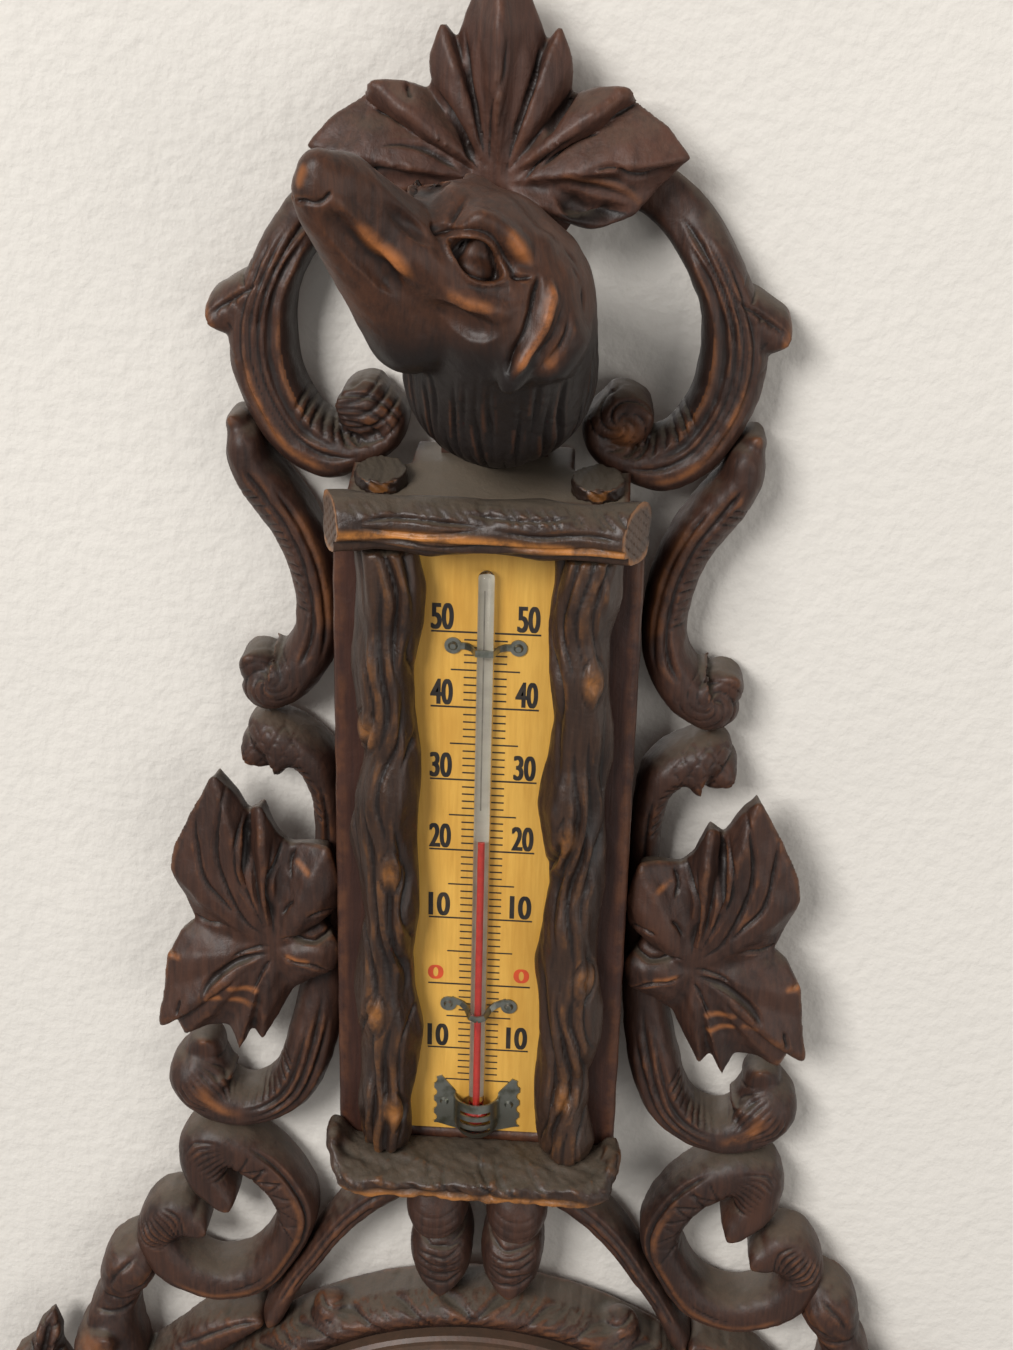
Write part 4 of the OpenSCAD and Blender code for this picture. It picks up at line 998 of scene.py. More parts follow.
class Finishes:
    """Every finish of the piece by a short name."""

    def __init__(self) -> None:
        """Builds the materials."""
        groups = Groups()
        looks = [
            WoodFinish("carved_wood", (0.066, 0.028, 0.017), (0.019, 0.010, 0.008), wear=0.3, dusty=0.42,
                       rough=0.5, coat=0.08),
            WoodFinish("leaf_wood", (0.094, 0.041, 0.027), (0.033, 0.016, 0.012), wear=0.1, dusty=0.25,
                       rough=0.5,
                       coat=0.06, bump=0.5),
            WoodFinish("head_wood", (0.082, 0.031, 0.015), (0.020, 0.009, 0.006), worn=(0.40, 0.14, 0.04),
                       wear=0.25,
                       dusty=0.0, rough=0.48, coat=0.05, bump=0.35),
            WoodFinish("case_wood", (0.062, 0.023, 0.014), (0.024, 0.010, 0.008), dusty=0.7, wear=0.2),
            WoodFinish("bark_wood", (0.053, 0.026, 0.015), (0.015, 0.008, 0.006), worn=(0.46, 0.18, 0.04),
                       wear=0.2,
                       dusty=0.4, rough=0.42, coat=0.2, bump=0.6),
            WoodFinish("bezel_wood", (0.095, 0.036, 0.019), (0.036, 0.015, 0.009), wear=0.4, dusty=0.3,
                       rough=0.42,
                       coat=0.2, bump=0.2, carved=False),
            WoodFinish("plain_wood", (0.075, 0.032, 0.020), (0.028, 0.013, 0.009), dusty=0.9, carved=False),
            # The scale is not carved, so its painted-shade colour goes unused.
            WoodFinish("scale_wood", (0.72, 0.42, 0.085), (0.54, 0.28, 0.045), worn=(0.8, 0.55, 0.2),
                       hollow=(0.3, 0.16, 0.04), dust=(0.6, 0.5, 0.3), wear=0.1, dusty=0.0, rough=0.42,
                       coat=0.3,
                       bump=0.12, carved=False),
            PaintFinish("black_print", (0.012, 0.010, 0.010), (0.03, 0.022, 0.015), 0.5),
            PaintFinish("red_print", (0.62, 0.075, 0.02), (0.5, 0.06, 0.02), 0.5),
            PaintFinish("white_enamel", (0.60, 0.56, 0.47), (0.50, 0.46, 0.38), 0.35, 200.0, 0.3),
            PaintFinish("bore_grey", (0.30, 0.27, 0.22), (0.22, 0.20, 0.16), 0.4, 300.0, 0.2),
            PaintFinish("dial_print", (0.80, 0.78, 0.70), (0.76, 0.73, 0.63), 0.45, 60.0),
            PaintFinish("spirit", (0.72, 0.05, 0.035), (0.62, 0.035, 0.03), 0.3, 400.0, 0.2),
            MetalFinish("tin", (0.34, 0.35, 0.31), (0.11, 0.11, 0.08), 0.34),
            MetalFinish("brass", (0.72, 0.52, 0.22), (0.50, 0.34, 0.13), 0.25),
            MetalFinish("capsule_metal", (0.70, 0.62, 0.44), (0.5, 0.42, 0.28), 0.28),
            MetalFinish("steel", (0.55, 0.55, 0.55), (0.4, 0.39, 0.38), 0.3),
            MetalFinish("spring_steel", (0.20, 0.22, 0.30), (0.12, 0.13, 0.2), 0.28),
            MetalFinish("blued_steel", (0.02, 0.03, 0.09), (0.015, 0.02, 0.05), 0.25),
            GlassFinish("clear_glass", (1.0, 1.0, 1.0)),
            GlassFinish("tube_glass", (0.97, 0.97, 0.95), 0.03),
        ]
        self.made = {look.name: look.build(groups) for look in looks}

    def dress(self, piece: Piece, name: str) -> None:
        """Gives a piece one finish all over.

        Args:
            piece: the object.
            name: the finish's name.
        """
        if piece.material_slots:
            for slot in piece.material_slots:
                slot.material = self.made[name]
        else:
            piece.data.materials.append(self.made[name])


def place(piece: Piece, nodes: list[str], body: str, slot: str) -> None:
    """Attaches a piece to its body, hides the CAD nodes that it stands for, and reports it.

    Args:
        piece: the new piece.
        nodes: CAD nodes that it stands for.
        body: its body.
        slot: not used.
    """
    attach(piece, body)
    if nodes:
        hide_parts(*nodes)
    log.info("%s: %d faces", piece.name, len(piece.data.polygons))


def complete(carver: Carver, finishes: Finishes, nodes: list[str], look: str, slot: str,
             hand: Space | None = None, stand: tuple[int, float] = (10, 0.35)) -> None:
    """Writes a carved piece's marks, dresses it and ties it to the frame.

    Args:
        carver: the fine mesh with its marks.
        finishes: every finish.
        nodes: CAD nodes that the piece stands for.
        look: name of its finish.
        slot: name of its slot.
        hand: depth, width and seed of the unevenness that a hand tool leaves.
        stand: rounds and reach of the measure for proud and hollow places.
    """
    carver.apply()
    if hand:
        depth, hills, seed = hand
        carver.shift += depth * wave(carver.co, hills, seed)
        carver.apply()
    carver.finish(*stand)
    finishes.dress(carver.piece, look)
    place(carver.piece, nodes, "frame", slot)


# Openwork, placed from the upper corner of the case

X0, Z0 = CASE_HALF, ROOF_TOP


def from_point(x0: float, z0: float, points: list[Station]) -> list[Station]:
    """Rows that start with x and z from a point in the front view, given from the origin."""
    return [(x0 + p[0], z0 + p[1], *p[2:]) for p in points]


def from_case(points: list[Station]) -> list[Station]:
    """Rows given from the upper corner of the case."""
    return from_point(X0, Z0, points)


def from_shelf(points: list[Station]) -> list[Station]:
    """Rows given from the middle of the shelf's underside."""
    return from_point(0.0, SHELF_BOTTOM, points)


RING: list[Station] = from_case([
    (-11.5, 66, 11, 9.7), (-2.5, 64, 12, 9.7), (5, 58.5, 12.5, 10.7), (11, 50.5, 12.5, 16), (16, 40.5, 13),
    (18.4, 31, 15.5), (18.2, 22, 16), (15.6, 13.5, 15.6), (10, 4.8, 15.6), (2.4, 0.4, 15), (-5.2, 0.6, 9),
    (-11.3, 3.8, 7.5, 17), (-12.8, 8.8, 8, 17), (-7.4, 11, 16)])
RING_KNOB: list[Station] = from_case([(20.5, 36, 14, 17), (25.6, 33.6, 12.5, 15.5)])
SIDE_SCROLL: list[Station] = from_case([
    (24.7, 5.6, 6.6, 16), (23.4, 2.2, 9.4), (22.1, -4, 10.8), (17.6, -11, 12.4), (11.8, -19.5, 12),
    (7.6, -30.5, 11.6), (6, -43, 11.3), (7.8, -52, 12.4), (13, -59.5, 13.5), (18.8, -60.8, 18.6),
    (21, -59, 12, 15)])
LONG_SCROLL: list[Station] = from_case([
    (21, -81, 12, 15), (18.8, -79.9, 18.6), (12.5, -80.2, 12.5), (7.3, -84.5, 10.6), (5, -93, 8.6, 16),
    (4.4, -105, 8, 13), (4.7, -123, 8.6, 13), (5.4, -140, 10, 13), (7, -155, 12.5, 14), (10, -171, 14, 17),
    (14.5, -184, 13), (21.5, -191, 11.5), (30, -193.4, 12.5), (38, -190.5, 16), (41.3, -184, 19.2),
    (40.5, -177, 11, 14)])
LOW_RING: list[Station] = from_case([
    (37.3, -223.5, 10.5), (41.3, -217.5, 13), (40.3, -208.3, 16.6), (31.5, -208.1, 14.6), (21, -216.5, 13),
    (15.1, -229.5, 12), (19.8, -243, 11.2), (28, -253, 12.6), (39.5, -256, 13.5), (51.5, -251, 14),
    (56.6, -240.5, 12.5), (51, -233, 16.5), (46.5, -234, 12)])
BRACE: list[Station] = from_shelf([
    (24.6, -21.2, 8.6), (31, -26, 8.8), (36.8, -31.7, 8.6), (42.2, -38.6, 7.6), (47.4, -47, 7),
    (53.6, -56.6, 6.4), (60.1, -70.2, 7)])
POST: list[Station] = from_shelf([
    (11, -6.3, 12, 20), (11.3, -13, 16, 23), (11.4, -20, 17.8, 26), (11.2, -25.5, 17, 26.5),
    (11, -28.6, 12.5, 25), (10.8, -29.9, 8, 17), (10.6, -31.4, 14.5, 20), (10.4, -35.5, 17.6, 23),
    (10.2, -40, 18, 23.5), (10.1, -43.4, 17, 22.5)])
POST_STEM: list[Station] = from_shelf([(10, -38, 12, 18), (10, -49.6, 9, 17)])


@dataclass
class Openwork:
    """The scrolls and rings on one side of the case, -1 for the left and 1 for the right."""
    finishes: Finishes
    side: int

    def build(self) -> None:
        """Carves every member."""
        for carve in (self.ring, self.side_scroll, self.long_scroll, self.low_ring, self.brace, self.post):
            carve()

    def member(self, kind: str, stations: list[Station], front: float = 18.0,
               more: list[list[Station]] | None = None) -> Member:
        """Builds one member.

        Args:
            kind: its CAD node's name without the side.
            stations: its middle line, for the right side.
            front: distance of the front from the wall, where a station has none of its own.
            more: further bars that are part of it.
        Returns:
            The member, ready to be carved.
        """
        name = f"{kind}_{SIDES[self.side]}"
        return Member([name], f"carved_{name}", self.side, stations, front, more)

    def finish(self, member: Member) -> None:
        """Completes a member with its own pattern of unevenness."""
        hand = (0.16, 7.0, member.side * 2.0)
        complete(member.carver, self.finishes, member.nodes, "carved_wood", "carved_wood", hand)

    def ring(self) -> None:
        """Upper ring: long flutes, nicks along the outer edge and a cut volute."""
        side = self.side
        m = self.member("ring", RING, more=[RING_KNOB])
        m.flute(-0.08, 0.2, 1.6, 0.14, 0.86, Cut.VEE, 0.1, 0.12)
        m.flute(-0.42, 0.22, 1.5, 0.2, 0.8, Cut.GOUGE, 0.1, 0.1)
        m.flute(0.3, 0.16, 1.1, 0.2, 0.76, Cut.VEE, 0.1, -0.12)
        m.flute(0.62, 0.16, 1.0, 0.24, 0.72, Cut.VEE, 0.1, -0.1)
        m.cross_cuts(0.6, 0.84, 7, -0.5, -1.05, 3.4, 2.4, 1.3)
        m.cross_cuts(0.3, 0.5, 5, 0.72, 1.05, 2.4, 1.6, 0.5)
        m.wear(0.46, 0.2, 0.5, 0.8, 0.7)
        m.wear(-0.7, 0.22, 0.4, 0.7, 0.45)
        c = m.carver
        if side < 0:
            m.lattice((X0 - 7.6, Z0 + 11.4), 8.4, 0.75)
        else:
            m.swirl((X0 - 7.4, Z0 + 11), 8.0, 5, 0.8)
            away = np.hypot(c.co[:, 0] - X0 + 6, c.co[:, 2] - Z0 - 8)
            c.worn = np.maximum(c.worn, 0.55 * (1 - ramp(away, 0, 6)))
        knob = [(side * (X0 + 31), Z0 + 40), (side * (X0 + 31.4), Z0 + 35), (side * (X0 + 30), Z0 + 30)]
        c.rub(knob, 3.0, 0.3)
        # Painted shade along the inner band of the ring, over its first four fifths.
        inner = ramp(-m.across, 0.55, 0.95)
        c.worn = np.where(inner * (m.share < 0.8) > 0.3, np.minimum(c.worn, -0.7 * inner), c.worn)
        for k in range(4):
            x, z = X0 + 17 + 2.2 * k, Z0 + 42 - 1.5 * k
            c.stroke([(side * x, z), (side * (x + 6), z - 4), (side * (x + 8), z - 8)], 1.5, 0.6)
        self.finish(m)

    def side_scroll(self) -> None:
        """Side scroll: one long groove, short light cuts down the inner band and a cut volute."""
        m = self.member("side_scroll", SIDE_SCROLL)
        m.flute(0.02, 0.24, 1.7, 0.1, 0.84, Cut.VEE, 0.08, 0.1)
        m.flute(-0.5, 0.16, 0.9, 0.2, 0.8, Cut.VEE, 0.1)
        m.flute(0.55, 0.5, 0.9, 0.14, 0.72, Cut.GOUGE, 0.1)
        m.cross_cuts(0.16, 0.64, 15, 0.28, 0.9, 1.2, 1.3, 0.65)
        m.swirl((X0 + 18.6, Z0 - 60.4), 9.0, 6, 0.42)
        m.wear(-0.6, 0.3, 0.3, 0.7, 0.4)
        self.finish(m)

    def long_scroll(self) -> None:
        """Long scroll: cut volute, grooved stem and a bud with fine ribs."""
        m = self.member("long_scroll", LONG_SCROLL)
        m.scales((X0 + 18.8, Z0 - 79.9), 9.0, 0.4)
        m.cross_cuts(0.06, 0.2, 7, 0.3, 1.0, 2.4, 2.0, 0.8)
        m.flute(0.0, 0.22, 1.3, 0.1, 0.5, Cut.VEE, 0.08)
        for at, start in ((-0.5, 0.56), (-0.1, 0.52), (0.3, 0.58)):
            m.flute(at, 0.22, 1.5, start, 0.86, Cut.VEE, 0.1)
        m.cross_cuts(0.66, 0.84, 9, 0.5, 1.02, 2.6, 1.6, 0.7)
        m.fan((X0 + 33, Z0 - 192), (X0 + 44, Z0 - 180), 9, 0.55)
        m.wear(0.1, 0.3, 0.84, 0.97, 0.6)
        self.finish(m)

    def low_ring(self) -> None:
        """Low ring: a raised rib and three-cornered cuts over its back."""
        m = self.member("low_ring", LOW_RING)
        m.flute(-0.62, 0.13, 1.3, 0.2, 0.84, Cut.VEE)
        m.flute(0.0, 0.1, 0.7, 0.52, 0.72, Cut.VEE, 0.1)
        m.cross_cuts(0.2, 0.44, 5, -0.3, 0.8, 6.0, 1.7, 0.9)
        m.cross_cuts(0.2, 0.44, 5, -0.3, 0.8, -1.0, 1.5, 0.8)
        m.cross_cuts(0.16, 0.46, 9, 0.8, 1.04, 2.0, 1.8, 0.5)
        m.cross_cuts(0.5, 0.7, 5, -0.2, 0.5, 7.0, 1.2, 0.3)
        m.fan((X0 + 33, Z0 - 206), (X0 + 44, Z0 - 214), 8, 0.55)
        m.fan((X0 + 50, Z0 - 241), (X0 + 58, Z0 - 231), 8, 0.9)
        m.wear(-0.3, 0.2, 0.3, 0.8, 0.4)
        self.finish(m)

    def brace(self) -> None:
        """Brace: two slender grooves."""
        m = self.member("brace", BRACE, 16.0)
        m.flute(0.3, 0.22, 0.9, 0.02, 0.9, Cut.VEE)
        m.flute(-0.35, 0.22, 0.8, 0.1, 0.8, Cut.VEE)
        self.finish(m)

    def post(self) -> None:
        """Post: two buds with bowed cuts over each."""
        side = self.side
        m = self.member("post", POST, more=[POST_STEM])
        c = m.carver
        for k in range(5):
            z = SHELF_BOTTOM - 32.5 - 3.1 * k
            tilt = 1.6 * math.sin(2.3 * k + side)
            c.stroke([(side * 3, z + 0.6 + tilt), (side * 8, z - 1.4), (side * 13, z - 0.8),
                      (side * 18, z + 1.2 - tilt)],
                     1.9, 0.8)
            c.stroke([(side * (5 + 2 * tilt), z + 2), (side * 9, z + 0.4 + tilt), (side * 14, z + 1.6)],
                     1.2, 0.5)
        for k in range(3):
            z = SHELF_BOTTOM - 19 - 3.0 * k
            c.stroke([(side * 3.4, z + 1), (side * 9, z - 1.4), (side * 14, z - 1.6), (side * 18.6, z)],
                     1.5, 0.35)
        self.finish(m)


@dataclass(frozen=True)
class Mark:
    """One cut in the front view."""
    line: Line
    width: float
    depth: float
    kind: Cut = Cut.VEE
    fade: float = 0.3

    def cut(self, carver: Carver, mirror: int = 1) -> None:
        """Cuts the mark, or its mirror image."""
        line = [(x * mirror, z) for x, z in self.line]
        carver.stroke(line, 0.68 * self.width, 0.8 * self.depth, self.kind, self.fade)


@dataclass(frozen=True)
class LeafPlan:
    """Lobes and cuts of a carved leaf, seen from the front."""
    centre: Pair
    lobes: list[Space]
    marks: list[Mark]

    def carve(self, carver: Carver, mirror: int = 1) -> None:
        """Rounds the lobes, each given as two angles from straight up and a height, and cuts the marks.

        Args:
            carver: the fine mesh.
            mirror: -1 to turn the plan to the left side.
        """
        x = carver.co[:, 0] * mirror - self.centre[0]
        z = carver.co[:, 2] - self.centre[1]
        angle = np.degrees(np.arctan2(x, z))
        out = ramp(np.hypot(x, z), 4, 20)
        for low, high, height in self.lobes:
            t = (angle - (low + high) / 2) / ((high - low) / 2)
            dome = np.where(np.abs(t) < 1, (1 - np.abs(t) ** 2.4) * height, 0)
            carver.shift += dome * out * carver.facing
        for mark in self.marks:
            mark.cut(carver, mirror)


CREST_PLAN = LeafPlan((0.0, 1.0), [(-17, 17.5, 0.8), (17.5, 38.5, 0.7), (38.5, 84, 1.0), (-36, -17, 0.7),
                                   (-84, -36, 1.0)], [
    Mark([(1, 37), (0.9, 26), (-1, 18.5), (-1.8, 11.5), (-1.9, 3)], 1.8, 0.7),
    Mark([(1.8, 24), (0.3, 13.6), (-0.7, 3)], 1.4, 0.4),
    Mark([(8.7, 32), (8, 24.7), (6.1, 18.9), (3.9, 12), (1.7, 3)], 3.6, 1.7),
    Mark([(17.5, 22.6), (14.4, 17.5), (12.2, 14.5), (10.2, 11)], 3.8, 2.8, fade=0.2),
    Mark([(18.1, 13.6), (14.1, 10.5), (8.9, 5.7), (4.5, 0.3)], 2.0, 1.3),
    Mark([(23.6, 12), (18.2, 11), (13.6, 8.2), (9.2, 4.2)], 2.6, 1.6),
    Mark([(31, 19.4), (26.3, 17), (23.4, 15.5)], 2.4, 1.5),
    Mark([(20, 4.6), (25.6, 6), (29.3, 4), (32.9, 3.9), (40.5, 7)], 3.0, 2.4),
    Mark([(-14, 21.2), (-10.5, 16), (-8, 11.6), (-6.2, 7.6), (-3.4, 2.7)], 3.6, 2.3),
    Mark([(-8, 34.4), (-7.1, 27.6), (-6.4, 22.6), (-4, 12), (-2.4, 4)], 3.2, 1.6),
    Mark([(-20.9, 21.6), (-19.4, 18.2)], 2.6, 1.4),
    Mark([(-28.5, 15.4), (-24.2, 14.3), (-20.3, 11.8)], 2.6, 1.7),
    Mark([(-26.6, 8.4), (-21.8, 8.8), (-16.4, 7.8), (-11.6, 5.6), (-7.6, 3.1)], 2.6, 1.7),
    Mark([(-20, 3), (-26, 3.6), (-31, 1.6), (-39, 5)], 2.8, 1.8),
    Mark([(13, 0.2), (18, -3), (24, -4.6), (30, -4.2)], 9.0, 4.2, Cut.GOUGE),
    Mark([(-13, 0.2), (-18, -3), (-24, -4.6), (-30, -4.2)], 9.0, 4.2, Cut.GOUGE),
    Mark([(15, 3.4), (22, 2.6), (28, 0.8), (32, -2.4)], 3.4, 0.9, Cut.RIDGE)])

SIDE_MARKS = (
    ([(29, -85), (31.6, -100.6), (31.9, -108.4), (29.8, -116.9), (24.9, -127.9), (18.6, -133)], 3.2, 1.8),
    ([(25, -93.7), (27.2, -106.8), (26.3, -114.6), (22.4, -123.8), (19.7, -131.7)], 2.4, 1.3),
    ([(22.5, -93), (24, -98.8), (24.3, -106.6), (24.5, -115.9), (22.4, -123.8)], 3.4, 2.2, Cut.GOUGE),
    ([(17.7, -101.7), (18.7, -114.2), (18.9, -123.5), (18.5, -131.6)], 2.0, 1.0),
    ([(14.3, -102.2), (16.8, -109.5), (18.7, -115.5), (18, -123.5), (17.9, -131.6)], 3.2, 2.0),
    ([(37.7, -94.4), (37.5, -104.1), (35.6, -115.2), (30.6, -121.6), (25.5, -128)], 3.2, 1.7),
    ([(40.5, -128), (36.8, -130), (29.7, -129.6)], 2.8, 2.3),
    ([(38, -153), (35.1, -146.4), (28.3, -140.4), (18.7, -137.1)], 3.8, 1.9, Cut.GOUGE),
    ([(31.3, -140.6), (25.8, -136.9), (18.6, -135)], 2.4, 1.3),
    ([(24.5, -150), (21.2, -142.8), (18.1, -138.4)], 2.6, 1.6),
    ([(48, -138.5), (44.4, -140.8)], 2.2, 1.2),
    ([(45, -158), (43.2, -152)], 2.4, 1.6),
    ([(15.4, -125.4), (13.6, -121.9), (11.2, -119.7)], 2.4, 1.6),
    ([(8.9, -124.3), (4.8, -122.7), (1.3, -123.2)], 2.4, 1.5),
    ([(16.8, -132.9), (13.8, -132), (6.7, -132.9), (-0.4, -129.1)], 3.2, 2.4),
    ([(16.9, -136.3), (12.8, -138.8), (6.9, -139.8), (1.6, -143.6)], 2.4, 1.4),
    ([(12.3, -115.1), (13.3, -110.6), (11.5, -106)], 2.4, 1.6))
SIDE_PLAN = LeafPlan(from_case([(19, -136.2)])[0],
                     [(8, 60, 0.9), (-6, 8, 0.6), (-62, -8, 0.9), (-104, -70, 0.8), (96, 150, 0.8)],
                     [Mark(from_case(line), *rest) for line, *rest in SIDE_MARKS])
FOOT_CUTS = ((9, 38, 2.2, 1.0), (11, 28, 3.4, 2.0), (20, 22, 2.4, 1.2), (18, 14, 3.4, 2.0),
             (30, 12, 2.4, 1.2), (32, 2, 3.2, 1.6), (31, -4, 2.2, 1.0))


def foot_mark(way: int, x: float, z: float, width: float, depth: float) -> Mark:
    """A cut of the foot leaf, from its stalk to a place beside and below it."""
    line = [(way * 3, DIAL_Z - 112), (way * x * 0.5, DIAL_Z - 109 - z * 0.45), (way * x, DIAL_Z - 109 - z)]
    return Mark(line, width, depth)


FOOT_PLAN = LeafPlan((0.0, DIAL_Z - 109),
                     [(140, 178, 1.2), (-178, -140, 1.2), (108, 138, 1.2), (-138, -108, 1.2)],
                     [Mark([(0, DIAL_Z - 111), (0, DIAL_Z - 130), (0, DIAL_Z - 151)], 2.4, 1.3),
                      *[foot_mark(way, *cut) for way in (-1, 1) for cut in FOOT_CUTS]])


@dataclass
class CarvedLeaves:
    """Crest leaf, side leaves, foot leaf and the leaves beside the dial."""
    finishes: Finishes

    def build(self) -> None:
        """Carves every leaf."""
        self.leaf("crest_leaf", CREST_PLAN, 1, 0.6)
        self.leaf("side_leaf_left", SIDE_PLAN, -1, 0.6)
        self.leaf("side_leaf_right", SIDE_PLAN, 1, 0.6)
        self.leaf("foot_leaf", FOOT_PLAN, 1, 0.7)
        self.dial_leaves()

    def done(self, carver: Carver, nodes: list[str]) -> None:
        """Completes a leaf."""
        look = "leaf_wood" if nodes == ["crest_leaf"] else "carved_wood"
        complete(carver, self.finishes, nodes, look, "carved_wood", (0.16, 7.0, 0.0))

    def leaf(self, node: str, plan: LeafPlan, mirror: int, voxel: float) -> None:
        """Carves one leaf by its plan.

        Args:
            node: its CAD node.
            plan: its lobes and cuts.
            mirror: -1 to turn the plan to the left side.
            voxel: size of the mesh's squares in millimetres.
        """
        carver = self.rounded(node, voxel)
        plan.carve(carver, mirror)
        if plan is CREST_PLAN:
            for way in (-1, 1):
                # Painted shade in the hollows of the two gouges under the leaf, and a rubbed ridge above
                # each.
                x, z = (carver.co[:, 0] - way * 22) / 10, (carver.co[:, 2] + 3.4) / 4.6
                carver.worn = np.minimum(carver.worn, ramp(np.hypot(x, z), 0.7, 1.1) - 1)
                carver.rub([(way * 15, 3.4), (way * 22, 2.6), (way * 28, 0.8), (way * 32, -2.4)], 2.6, 0.35)
        if plan is SIDE_PLAN:
            for line in ([(23, -148.5), (30, -148)], [(24, -153), (30, -152)], [(33, -151), (36, -151.5)],
                         [(44, -140.5), (49, -140)], [(8, -112), (11, -110)], [(14, -137.5), (9, -138.5)]):
                carver.rub([(x * mirror, z) for x, z in from_case(line)], 2.6, 0.8)
        self.done(carver, [node])

    def rounded(self, node: str, voxel: float) -> Carver:
        """A fine copy of a leaf with its creases smoothed away, ready to be carved.

        Args:
            node: the CAD node.
            voxel: width of a square in millimetres.
        Returns:
            The fine mesh.
        """
        piece = fine_copy([node], f"carved_{node}", voxel, 0)
        melt(piece, 7)
        return Carver(piece)

    def dial_leaves(self) -> None:
        """Carves the four oak leaves outside the branches."""
        carver = self.rounded("dial_leaves", 0.7)
        for side in (-1, 1):
            for x, z, turn, length in ((98.3 + 34.4, 52, -12, 48), (98.3 + 20.1, -36, 16, 46)):
                a = math.radians(turn)
                axis = (math.sin(a), math.cos(a))
                base = (x - axis[0] * length * 0.45, DIAL_Z + z - axis[1] * length * 0.45)
                for k in range(7):
                    t = 0.12 + 0.125 * k
                    sx, sz = base[0] + axis[0] * length * t, base[1] + axis[1] * length * t
                    for turn_side in (-1, 1):
                        b = a + turn_side * math.radians(48)
                        branch = [(side * sx, sz), (side * (sx + 8 * math.sin(b)), sz + 8 * math.cos(b))]
                        carver.stroke(branch, 1.6, 0.7, Cut.VEE, 0.3)
                tip = (base[0] + axis[0] * length * 0.95, base[1] + axis[1] * length * 0.95)
                carver.stroke([(side * base[0], base[1]), (side * tip[0], tip[1])], 2.4, 1.1, Cut.VEE, 0.1)
        self.done(carver, ["dial_leaves"])


def long_grain(carver: Carver, axis: int, span: Pair, middle: float, reach: float, count: int,
               seed: int, sway: float = 1.6) -> None:
    """Runs long flowing grooves along a log, as weathered grain.

    Args:
        carver: the fine mesh of the log.
        axis: 0 for a log along x, 2 for an upright one.
        span: low and high end along the log.
        middle: its middle in the other front coordinate.
        reach: how far the grooves lie from the middle.
        count: number of grooves side by side.
        seed: shifts the pattern.
        sway: how far the grooves swing to the sides.
    """
    draw = np.random.default_rng(seed)
    length = span[1] - span[0]
    for k in range(count):
        off = middle + reach * (2 * (k + 0.5) / count - 1)
        at = span[0] - draw.uniform(0, 20)
        while at < span[1]:
            run = draw.uniform(0.45, 0.9) * min(90, length)
            steps = np.linspace(at, at + run, 7)
            bend = sway * (np.sin(steps * 0.075 + seed) + 0.6 * np.sin(steps * 0.17 + 2.3 * seed))
            place_at = off + bend + draw.normal(0, 0.3, 7)
            pairs = list(zip(steps, place_at))
            line = pairs if axis == 0 else [(b, a) for a, b in pairs]
            width = draw.uniform(1.6, 3.8)
            carver.stroke(line, width, width * draw.uniform(0.45, 0.65), Cut.VEE, 0.4, 5)
            at += run * draw.uniform(0.85, 1.1)
    drawn_out = np.ones(3)
    drawn_out[axis] = 0.3
    carver.shift += 0.35 * wave(carver.co * drawn_out, 6.0, seed)


